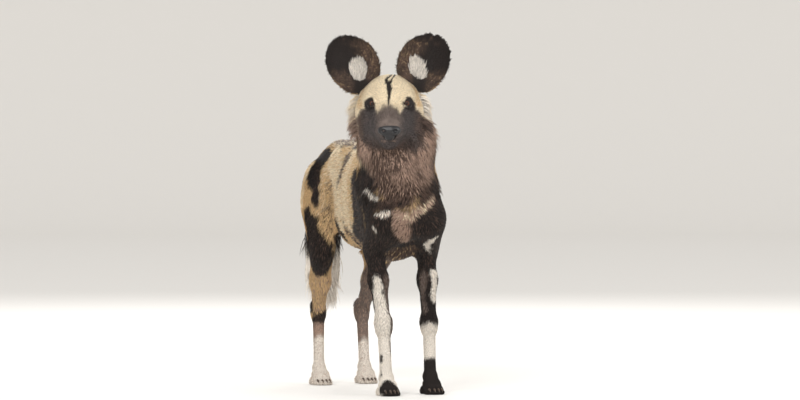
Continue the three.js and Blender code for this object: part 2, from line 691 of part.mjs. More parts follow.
for (const [name, j] of Object.entries(LIMBS)) {
  add(`shoulder_${name}`, shoulder(j), COLOURS.black);
  add(`forearm_${name}`, forearm(j), COLOURS.black);
  add(`thigh_${name}`, thigh(j), COLOURS.brown);
  add(`shank_${name}`, shank(j), COLOURS.tan);
}
for (const f of feet) {
  const j = LIMBS[f.name];
  add(`${f.end}foot_${f.name}`, foot(f, f.end === "fore" ? wristCut(j) : hockCut(j)), COLOURS.white);
  const skin = footSkin(f, GAP);
  f.flesh.toes.forEach((toe, i) => {
    add(`claw_${f.end}_${f.name}_${i + 1}`, claw(toe, skin), COLOURS.claw, ROUGHNESS.claw);
  });
}

// Stands the dog on the floor with the origin below the middle of its whole box.
const middle = new THREE.Box3().setFromObject(parts).getCenter(V(0, 0, 0));
parts.position.set(-middle.x, -middle.y, 0);

export default parts;
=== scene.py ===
"""An African wild dog as a life-size museum model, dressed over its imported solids.

The skin is wrapped round the solids, shaped by rounded cones for its muscles and face, and covered with
short tufts of fur that lie from nose to tail. Lengths are millimetres unless they say otherwise, in the
dog's own axes: x to its left, y to its back, z up, from the floor between the forefeet.
"""

import logging
import math
from dataclasses import dataclass, field
from enum import Enum

import bmesh
import bpy
import numpy as np
from mathutils import Matrix, Vector
from mathutils.kdtree import KDTree


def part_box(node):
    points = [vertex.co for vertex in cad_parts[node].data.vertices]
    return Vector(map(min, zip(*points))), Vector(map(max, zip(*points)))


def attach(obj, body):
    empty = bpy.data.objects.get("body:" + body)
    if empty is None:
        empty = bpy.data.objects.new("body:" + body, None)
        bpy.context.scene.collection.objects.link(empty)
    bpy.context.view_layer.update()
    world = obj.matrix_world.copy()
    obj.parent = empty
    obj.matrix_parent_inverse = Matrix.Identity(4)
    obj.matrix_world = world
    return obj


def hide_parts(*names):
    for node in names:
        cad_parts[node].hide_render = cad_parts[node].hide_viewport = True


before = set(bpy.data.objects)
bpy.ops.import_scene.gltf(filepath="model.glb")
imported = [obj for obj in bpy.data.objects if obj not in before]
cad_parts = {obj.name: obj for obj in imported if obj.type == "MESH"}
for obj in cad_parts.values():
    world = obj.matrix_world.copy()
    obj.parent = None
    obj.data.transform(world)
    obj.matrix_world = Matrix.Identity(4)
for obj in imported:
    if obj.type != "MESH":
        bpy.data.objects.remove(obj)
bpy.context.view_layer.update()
logging.basicConfig(level=logging.INFO, format="%(message)s")
LOG = logging.getLogger("wild_dog")

Array = np.ndarray
Point = tuple[float, float, float]
MM = 0.001

HEAD_TURN = math.radians(17)
COS, SIN = math.cos(HEAD_TURN), math.sin(HEAD_TURN)
EYE_LINE = (-51.0, -45.0, 670.0)  # the point between the eyes, where the head's own axes start
ORIGIN = np.array([39.856, -271.618, 0.0])  # the dog's own origin in the frame, whose own is mid-box
SIDES = {"left": 1, "right": -1}
FAR = 1e3  # farther than any two places on the dog
CLEAR = 99.0  # far enough from a marking or an ear not to matter
NONE = 1e-9  # as good as no fur
HASH = (374761393, 668265263, 2147483647)  # scrambles the numbers of a cell


def head_point(x: float, y: float, z: float) -> Point:
    """A point given in the head's own axes, in the dog's axes."""
    return (EYE_LINE[0] + x * COS + y * SIN, EYE_LINE[1] - x * SIN + y * COS, EYE_LINE[2] + z)


def into_head(points: Array) -> Array:
    """Points of the dog's axes in the head's own axes."""
    p = points - np.array(EYE_LINE)
    return np.c_[p[:, 0] * COS - p[:, 1] * SIN, p[:, 0] * SIN + p[:, 1] * COS, p[:, 2]]


def across_head(across: Array, up: Array) -> Array:
    """Directions given across the head and up, in the dog's axes."""
    return np.c_[across * COS, -across * SIN, up]


def between(a: Point, b: Point, t: float) -> Point:
    """The point a share t of the way from a to b."""
    return tuple(p + (q - p) * t for p, q in zip(a, b))


def moved(a: Point, x: float = 0, y: float = 0, z: float = 0) -> Point:
    """The point a, moved."""
    return (a[0] + x, a[1] + y, a[2] + z)


class Tone(Enum):
    """The colours of the coat, as linear light."""

    BLACK = (0.020, 0.014, 0.012)
    CHARCOAL = (0.074, 0.060, 0.058)
    BROWN = (0.090, 0.056, 0.042)
    GREY = (0.210, 0.160, 0.135)
    PINK = (0.430, 0.290, 0.220)
    TAN = (0.680, 0.465, 0.245)
    CREAM = (0.880, 0.735, 0.520)
    WHITE = (0.900, 0.830, 0.740)


# Noise

def lattice(cells: Array, seed: int) -> Array:
    """A repeatable random number from 0 to 1 for each whole-number cell.

    Args:
        cells: whole-number places.
        seed: another one gives other numbers.

    Returns:
        A number for each.
    """
    n = sum(cells[:, k] * HASH[k] for k in range(3)) + seed * 144665
    n = (n ^ (n >> 13)) * 1274126177
    return ((n ^ (n >> 16)) & 0xFFFF).astype(np.float32) / 65535.0


def noise(points: Array, size: float, seed: int) -> Array:
    """Smooth noise from -1 to 1 whose lumps are about size across.

    Args:
        points: places.
        size: of a lump.
        seed: another one gives other lumps.

    Returns:
        A value for each.
    """
    p = points / size
    base = np.floor(p).astype(np.int64)
    t = (p - base).astype(np.float32)
    t = t * t * (3 - 2 * t)
    total = np.zeros(len(points), np.float32)
    for corner in np.ndindex(2, 2, 2):
        share = np.prod(np.where(np.array(corner) == 1, t, 1 - t), axis=1)
        total += share * lattice(base + np.array(corner), seed)
    return total * 2 - 1


def smooth_step(low: float, high: float, values: Array) -> Array:
    """0 below low, 1 above high, and a smooth ramp between."""
    t = np.clip((values - low) / (high - low), 0, 1)
    return t * t * (3 - 2 * t)


def capsule_distance(points: Array, a: Point, b: Point, ra: float, rb: float, narrow: float = 1.0) -> Array:
    """Distance from points to a rounded cone, squeezed sideways where narrow is under 1.

    Args:
        points: places.
        a: the middle of one end.
        b: the middle of the other.
        ra: radius at a.
        rb: radius at b.
        narrow: its share of width from side to side.

    Returns:
        Distances, below 0 inside.
    """
    start, along = np.array(a, np.float32), np.array(b, np.float32) - np.array(a, np.float32)
    p = points - start
    t = np.clip(p @ along / max(float(along @ along), 1e-9), 0, 1)
    d = p - t[:, None] * along
    d[:, 0] /= narrow
    return np.sqrt((d * d).sum(1)) - (ra + (rb - ra) * t)


def away(points: Array, place: Point) -> Array:
    """How far each point is from a place."""
    return np.linalg.norm(points - np.array(place), axis=1)


def unit(vectors: Array) -> Array:
    """The same directions, each of length 1."""
    return vectors / np.maximum(np.linalg.norm(vectors, axis=1, keepdims=True), 1e-6)


def smooth_min(a: Array, b: Array, k: float) -> Array:
    """The lesser of two distances, with their meeting rounded over k."""
    h = np.maximum(k - np.abs(a - b), 0) / k
    return np.minimum(a, b) - h * h * k / 4


# Flesh

@dataclass(frozen=True)
class Cone:
    """One rounded cone of flesh, from a to b."""

    a: Point
    b: Point
    ra: float
    rb: float
    narrow: float = 1.0


@dataclass
class Muscles:
    """A group of cones that melt together, and the fur that grows over them."""

    cones: list[Cone]
    blend: float
    join: float
    fur: float
    flow: int = 1  # 1 where the fur lies from a to b of each cone, -1 where it lies the other way

    def distance(self, points: Array) -> Array:
        """Distance from points to this group alone.

        Args:
            points: places.

        Returns:
            Distances, below 0 inside.
        """
        d = np.full(len(points), FAR, np.float32)
        for c in self.cones:
            d = smooth_min(d, capsule_distance(points, c.a, c.b, c.ra, c.rb, c.narrow), self.blend)
        return d


@dataclass
class Limb:
    """The joints of the legs of one side, and the flesh on them."""

    side: int
    scapula: Point
    shoulder: Point
    elbow: Point
    wrist: Point
    forefoot: Point
    hip: Point
    knee: Point
    hock: Point
    hindfoot: Point

    def foreleg(self) -> list[Cone]:
        """Shoulder blade, upper arm, forearm and wrist.

        Returns:
            Their cones.
        """
        s, e = self.side, self.elbow
        return [
            Cone(moved(self.scapula, z=-14), self.shoulder, 34, 41, 0.7),
            Cone(self.shoulder, e, 42, 29, 0.74),
            Cone(moved(e, -8 * s, 18, 120), moved(e, 0, 4, 18), 46, 27, 0.6),
            Cone((e[0] * 0.5, -62, 402), between(self.shoulder, e, 0.8), 40, 28, 0.9),
        ]

    def forearm(self) -> list[Cone]:
        """The forearm, from elbow to wrist.

        Returns:
            Its cones.
        """
        e, w = self.elbow, self.wrist
        return [
            Cone(e, between(e, w, 0.4), 26, 23, 0.86),
            Cone(between(e, w, 0.4), w, 23, 16.5, 0.9),
            Cone(moved(w, y=2, z=6), moved(w, z=-8), 18.5, 17.5),
        ]

    def thigh(self) -> list[Cone]:
        """Haunch and thigh.

        Returns:
            Their cones.
        """
        s, h, k = self.side, self.hip, self.knee
        return [
            Cone(h, k, 70, 37, 0.54),
            Cone(moved(h, 4 * s, 4, -36), moved(k, 0, 16, 40), 58, 40, 0.66),
            Cone(moved(h, -8 * s, 54, -6), between(k, self.hock, 0.35), 50, 24, 0.62),
            Cone(moved(h, -8 * s, -60), moved(k, 0, -4, 30), 42, 34, 0.6),
            Cone(moved(h, -16 * s, -112, -58), moved(k, -8 * s, -18, 36), 34, 26, 0.6),
        ]

    def shank(self) -> list[Cone]:
        """Lower thigh and hock.

        Returns:
            Their cones.
        """
        k, h = self.knee, self.hock
        return [
            Cone(k, between(k, h, 0.5), 34, 25, 0.78),
            Cone(between(k, h, 0.5), h, 25, 15.5, 0.84),
            Cone(moved(h, y=8, z=10), moved(h, y=2, z=-14), 15, 17, 0.86),
        ]

    def foot(self, top: Point, ground: Point, radius: float, length: float) -> list[Cone]:
        """Cannon, pads and four toes.

        Args:
            top: the joint above.
            ground: the point of the floor that the foot stands on.
            radius: of the cannon.
            length: of the middle toes.

        Returns:
            Their cones, the toes last.
        """
        knuckle = moved(ground, y=4, z=40)
        cones = [
            Cone(top, knuckle, radius, radius - 1.5),
            Cone(knuckle, moved(ground, y=-8, z=26), radius, 15.5, 1.1),
            Cone(moved(ground, -9, 10, 8), moved(ground, 9, 10, 8), 13.5, 13.5),
            Cone(moved(ground, y=10, z=6), moved(ground, y=-24, z=6), 11, 11, 1.45),
        ]
        for k in (-1.5, -0.5, 0.5, 1.5):
            reach = length * (1 if abs(k) < 1 else 0.8)
            cones.append(Cone(moved(ground, k * 7.4, -6, 24), moved(ground, k * 9.8, -reach, 5), 9.8, 8.9))
        return cones


LIMBS = {
    "left": Limb(
        side=1, scapula=(42, 62, 548), shoulder=(50, -36, 408), elbow=(66, 48, 334), wrist=(66, 26, 160),
        forefoot=(65, 10, 0), hip=(58, 505, 466), knee=(74, 432, 320), hock=(62, 556, 176),
        hindfoot=(57, 514, 0),
    ),
    "right": Limb(
        side=-1, scapula=(-48, 60, 548), shoulder=(-68, -44, 412), elbow=(-60, 42, 334), wrist=(-54, -8, 160),
        forefoot=(-52, -26, 0), hip=(-58, 500, 466), knee=(-80, 412, 320), hock=(-56, 524, 176),
        hindfoot=(-66, 480, 0),
    ),
}


@dataclass
class Flesh:
    """The whole animal under its skin: groups of rounded cones, and the smooth surface round them."""

    eyes: dict[str, Point]
    eye_radius: float = 12.5
    sway: float = 7.0  # how far one muscle's lie of fur fades into the next one's
    sink: float = 0.18  # how much all fur leans to the floor
    groups: list[Muscles] = field(default_factory=list)
    tail: list[Cone] = field(default_factory=list)

    def __post_init__(self) -> None:
        """Builds every group from the named joints."""
        h = head_point
        torso = [
            Cone((-12, -14, 452), (0, 150, 462), 80, 106, 0.78),
            Cone((-14, -32, 414), (-2, 110, 404), 60, 92, 0.68),
            Cone((0, 70, 402), (0, 310, 408), 90, 82, 0.88),
            Cone((-4, 40, 528), (0, 160, 522), 64, 66, 0.66),
            Cone((0, 150, 480), (0, 390, 492), 98, 80, 0.8),
            Cone((0, 190, 438), (0, 390, 458), 96, 74, 0.72),
            Cone((0, 390, 502), (-3, 530, 490), 80, 76, 0.74),
            Cone((-3, 490, 528), (-4, 585, 506), 50, 36, 0.9),
        ]
        neck = [
            Cone((-16, 20, 580), (-6, 46, 500), 72, 78, 1.1),
            Cone((-30, 10, 648), (-16, 20, 580), 62, 72, 1.14),
            Cone((-26, -22, 556), (-12, -34, 466), 52, 54, 1.2),
        ]
        skull = [
            Cone(h(0, 24, 10), h(0, 54, 2), 54, 60, 1.16),
            Cone(h(0, -8, 8), h(0, 8, 22), 30, 38, 1.1),
            Cone(h(0, 40, -44), h(0, 68, -20), 54, 58, 1.26),
        ]
        face = [
            Cone(h(0, -72, -50), h(0, -6, -26), 27, 40, 1.06),
            Cone(h(0, -86, -44), h(0, -14, -6), 16, 22, 1.05),
            Cone(h(0, -66, -88), h(0, 6, -80), 16, 32, 1.12),
        ]
        for s in SIDES.values():
            face += [
                Cone(h(26 * s, -22, -36), h(40 * s, 24, -14), 24, 38),
                Cone(h(20 * s, -20, -68), h(36 * s, 30, -50), 24, 38),
                Cone(h(22 * s, -17, 15), h(38 * s, -8, 14), 14, 15),
                Cone(h(15 * s, -82, -62), h(14 * s, -52, -58), 17, 24),
            ]
        tail = [
            Cone((-4, 560, 520), (-6, 622, 482), 30, 24),
            Cone((-6, 622, 482), (-8, 648, 410), 24, 20),
            Cone((-8, 648, 410), (-8, 652, 330), 20, 17),
            Cone((-8, 652, 330), (-8, 648, 262), 17, 9),
        ]
        self.tail = tail[2:]
        self.groups = [
            Muscles(torso, 34, 30, 17),
            Muscles(neck, 34, 56, 27),
            Muscles(face + skull, 22, 20, 6),
        ]
        for limb in LIMBS.values():
            self.groups.append(Muscles(limb.foreleg() + limb.forearm(), 20, 26, 11))
            self.groups.append(Muscles(limb.thigh() + limb.shank(), 24, 28, 13))
        self.groups.append(Muscles(tail, 16, 18, 20))
        for limb in LIMBS.values():
            self.groups.append(Muscles(limb.foot(limb.wrist, limb.forefoot, 15.5, 36), 7, 8, 5))
            self.groups.append(Muscles(limb.foot(limb.hock, limb.hindfoot, 14.5, 33), 7, 8, 5))

    def surface(self, points: Array) -> Array:
        """Distance from points to the outside of the coat, as the solids have it.

        Args:
            points: places.

        Returns:
            Distances, below 0 inside.
        """
        d = np.full(len(points), FAR, np.float32)
        for group in self.groups:
            d = smooth_min(d, group.distance(points), group.join)
        return d

    def lid_paths(self, side: int, eye: Point) -> list[tuple[list[Point], float]]:
        """The edges of the upper and the lower lid of one eye, from its inner to its outer corner.

        Args:
            side: 1 for the left eye, -1 for the right.
            eye: the middle of the eyeball.

        Returns:
            A path and its thickness for each lid.
        """
        paths = []
        over = self.eye_radius + 0.8
        for rise, bulk in ((1.0, 3.6), (-0.72, 3.0)):
            path = []
            for t in np.linspace(-1, 1, 9):
                x, z = 12.4 * t, rise * 8.3 * (1 - t * t) + 2.2 * t - 0.4
                y = -math.sqrt(max(3.0, over * over - x * x - z * z))
                path.append(
                    (eye[0] + side * x * COS + y * SIN, eye[1] - side * x * SIN + y * COS, eye[2] + z)
                )
            paths.append((path, bulk))
        return paths

    def mouth_path(self) -> list[Point]:
        """The line of the mouth, from one corner round the front of the muzzle to the other.

        Returns:
            Places along it.
        """
        path = []
        for t in np.linspace(-1, 1, 17):
            front = 1 - t * t
            sag = -71 - 6 * front + 3 * math.cos(3 * math.pi * t)
            path.append(head_point(t * 38, -22 - 73 * front**0.62, sag))
        return path

    def carve_face(self, points: Array, d: Array) -> Array:
        """Adds the lids and cuts the eye sockets and the line of the mouth.

        Args:
            points: where the distance was taken.
            d: the distance to the skin without these.

        Returns:
            The distance with them.
        """
        near = np.flatnonzero(away(points, head_point(0, -40, -30)) < 120)
        p, f = points[near], d[near]
        for name, side in SIDES.items():
            eye = self.eyes[name]
            for path, bulk in self.lid_paths(side, eye):
                for a, b in zip(path, path[1:]):
                    f = smooth_min(f, capsule_distance(p, a, b, bulk, bulk), 3.0)
            socket = away(p, eye) - self.eye_radius - 0.25
            f = np.maximum(f, -socket)
        path = self.mouth_path()
        for a, b in zip(path, path[1:]):
            f = -smooth_min(-f, capsule_distance(p, a, b, 1.9, 1.9), 2.5)
        out = d.copy()
        out[near] = f
        return out

    def lie(self, points: Array) -> tuple[Array, Array]:
        """The way the fur lies and how long it is.

        Args:
            points: places on the skin.

        Returns:
            A direction for each, not yet laid on the skin, and a length.
        """
        total = np.zeros(len(points), np.float32)
        flow = np.zeros((len(points), 3), np.float32)
        length = np.zeros(len(points), np.float32)
        for group in self.groups:
            for c in group.cones:
                along = np.array(c.b, np.float32) - np.array(c.a, np.float32)
                along /= max(float(np.linalg.norm(along)), 1e-6)
                gap = capsule_distance(points, c.a, c.b, c.ra, c.rb, c.narrow)
                w = np.exp(-np.clip(gap, -12, 60) / self.sway)
                total += w
                flow += w[:, None] * along * group.flow
                length += w * group.fur
        flow /= total[:, None]
        flow[:, 2] -= self.sink
        length /= total
        for eye in self.eyes.values():
            length *= 0.42 + 0.58 * smooth_step(13, 26, away(points, eye))
        return flow, length


# Markings

@dataclass(frozen=True)
class Patch:
    """One marking: a worm of colour laid along a path on the coat, with a ragged edge."""

    tone: Tone
    path: tuple[Point, ...]
    radius: tuple[float, ...]
    edge: float = 4.0
    ragged: float = 6.0
    grizzle: Tone | None = None
    grizzled: float = 0.0

    def mask(self, points: Array, ragged: Array) -> Array:
        """How much of this marking covers each point, 0 to 1.

        Args:
            points: places on the coat.
            ragged: noise that frays its edge.

        Returns:
            A share for each.
        """
        radii = self.radius * len(self.path) if len(self.radius) == 1 else self.radius
        path = self.path if len(self.path) > 1 else self.path * 2
        radii = radii if len(radii) > 1 else radii * 2
        d = np.full(len(points), FAR, np.float32)
        for a, b, ra, rb in zip(path, path[1:], radii, radii[1:]):
            d = np.minimum(d, capsule_distance(points, a, b, ra, rb))
        return 1 - smooth_step(-self.edge, self.edge, d + ragged * self.ragged)


@dataclass(frozen=True)
class DarkFace:
    """The dark muzzle and cheeks: all that lies below a line across the face, seen from in front."""

    line: tuple[tuple[float, float], ...] = (
        (-84, -50), (-77, -36), (-64, -20), (-52, -9), (-41, -5), (-32, -8), (-28, -22), (-24, -25),
        (-16, -14), (0, -9), (16, -13), (23, -24), (27, -20), (32, -7), (42, -4), (54, -9), (66, -20),
        (84, -44),
    )
    stripe: tuple[tuple[float, float, float], ...] = (
        (3, 66, 1.2), (-5, 53, 3.0), (-1, 42, 4.8), (2, 28, 4.2), (-1, 12, 2.6), (-4, -6, 1.6),
    )
    fork: tuple[tuple[float, float, float], ...] = ((9, 64, 1.2), (5, 54, 2.2), (0, 42, 3.0))
    sides: tuple[float, float] = (71, 81)  # half width at the eyes, right and left
    behind: float = 32.0

    def crown_stripe(self, points: Array, ragged: Array) -> Array:
        """The narrow wavy stripe that runs down the forehead, as seen from in front, 0 to 1.

        Args:
            points: places on the coat.
            ragged: noise that frays its edge.

        Returns:
            A share for each.
        """
        at = into_head(points)
        flat = np.c_[at[:, 0], np.zeros(len(at)), at[:, 2]].astype(np.float32)
        d = np.full(len(at), CLEAR, np.float32)
        for path in (self.stripe, self.fork):
            for (ax, az, ar), (bx, bz, br) in zip(path, path[1:]):
                d = np.minimum(d, capsule_distance(flat, (ax, 0, az), (bx, 0, bz), ar, br))
        return (1 - smooth_step(-1.0, 1.4, d + ragged * 1.5)) * (at[:, 1] < 30)

    def masks(self, points: Array, ragged: Array) -> tuple[Array, Array]:
        """How dark and how grey the face is.

        Args:
            points: places on the coat.
            ragged: noise that frays the edges.

        Returns:
            The mask of the dark face and, within it, of the greyer bridge of the nose, which is grey fur and
            also a painted highlight on the top of the muzzle.
        """
        at = into_head(points)
        xs, zs = zip(*self.line)
        edge = np.interp(at[:, 0], xs, zs)
        dark = 1 - smooth_step(-6.5, 6.5, at[:, 2] - edge + ragged * 6)
        half = np.where(at[:, 0] < 0, self.sides[0], self.sides[1]) + 0.42 * np.minimum(at[:, 2] + 58, 0)
        dark *= 1 - smooth_step(-9, 9, np.abs(at[:, 0]) - half + ragged * 8)
        dark *= 1 - smooth_step(-8, 8, at[:, 1] - self.behind - 0.2 * at[:, 2] + ragged * 8)
        # the bridge: greyer fur on top of the muzzle, partly a painted highlight where light falls on it
        grey = smooth_step(-92, -40, at[:, 2]) * smooth_step(36, 14, np.abs(at[:, 0]))
        grey = grey * smooth_step(-14, -44, at[:, 1])
        chin = smooth_step(-116, -106, at[:, 2] - 0.2 * (at[:, 1] + 85) + ragged * 5)
        return dark * chin, grey


def head_patches() -> list[Patch]:
    """The markings of the head, in the order they are painted.

    Returns:
        The markings.
    """
    h = head_point
    patches = [
        Patch(Tone.BROWN, (h(0, 104, 20), h(0, 100, -50)), (44, 60), 10, 12, Tone.TAN, 0.45),
        Patch(Tone.BROWN, (h(0, -60, -112), h(0, 20, -110)), (34, 50), 10, 8, Tone.PINK, 0.5),
    ]
    for s in SIDES.values():
        patches += [
            Patch(Tone.TAN, (h(58 * s, 24, 40), h(64 * s, 8, 16), h(66 * s, 0, 0)),
                  (16, 15, 10), 9, 8, Tone.CREAM, 0.5),
            Patch(Tone.WHITE, (h(80 * s, 26, 14), h(88 * s, 34, -14), h(88 * s, 40, -38)),
                  (15, 18, 14), 5, 8),
            Patch(Tone.PINK, (h(84 * s, 36, -54), h(82 * s, 30, -78), h(70 * s, 16, -104)),
                  (28, 32, 28), 10, 10, Tone.BROWN, 0.3),
        ]
    return patches


def eye_patches(eyes: dict[str, Point]) -> list[Patch]:
    """The markings painted over the dark face, some of them round the eyeballs.

    Args:
        eyes: the middles of the eyeballs.

    Returns:
        The markings.
    """
    h = head_point
    patches = []
    for name, s in SIDES.items():
        patches += [
            Patch(Tone.CREAM, (h(27 * s, -38, -14), h(26 * s, -46, -26), h(22 * s, -54, -36)),
                  (2.4, 2.2, 1.6), 3, 4, Tone.GREY, 0.5),
            Patch(Tone.BLACK, (moved(eyes[name], -5 * s, 0, -2), moved(eyes[name], 3 * s, 0, -3)),
                  (17.5,), 2.5, 2),
            Patch(Tone.PINK, (h(6 * s, -88, -85), h(15 * s, -82, -83)), (1.4, 1.8), 1.6, 2, Tone.GREY, 0.4),
        ]
    return patches


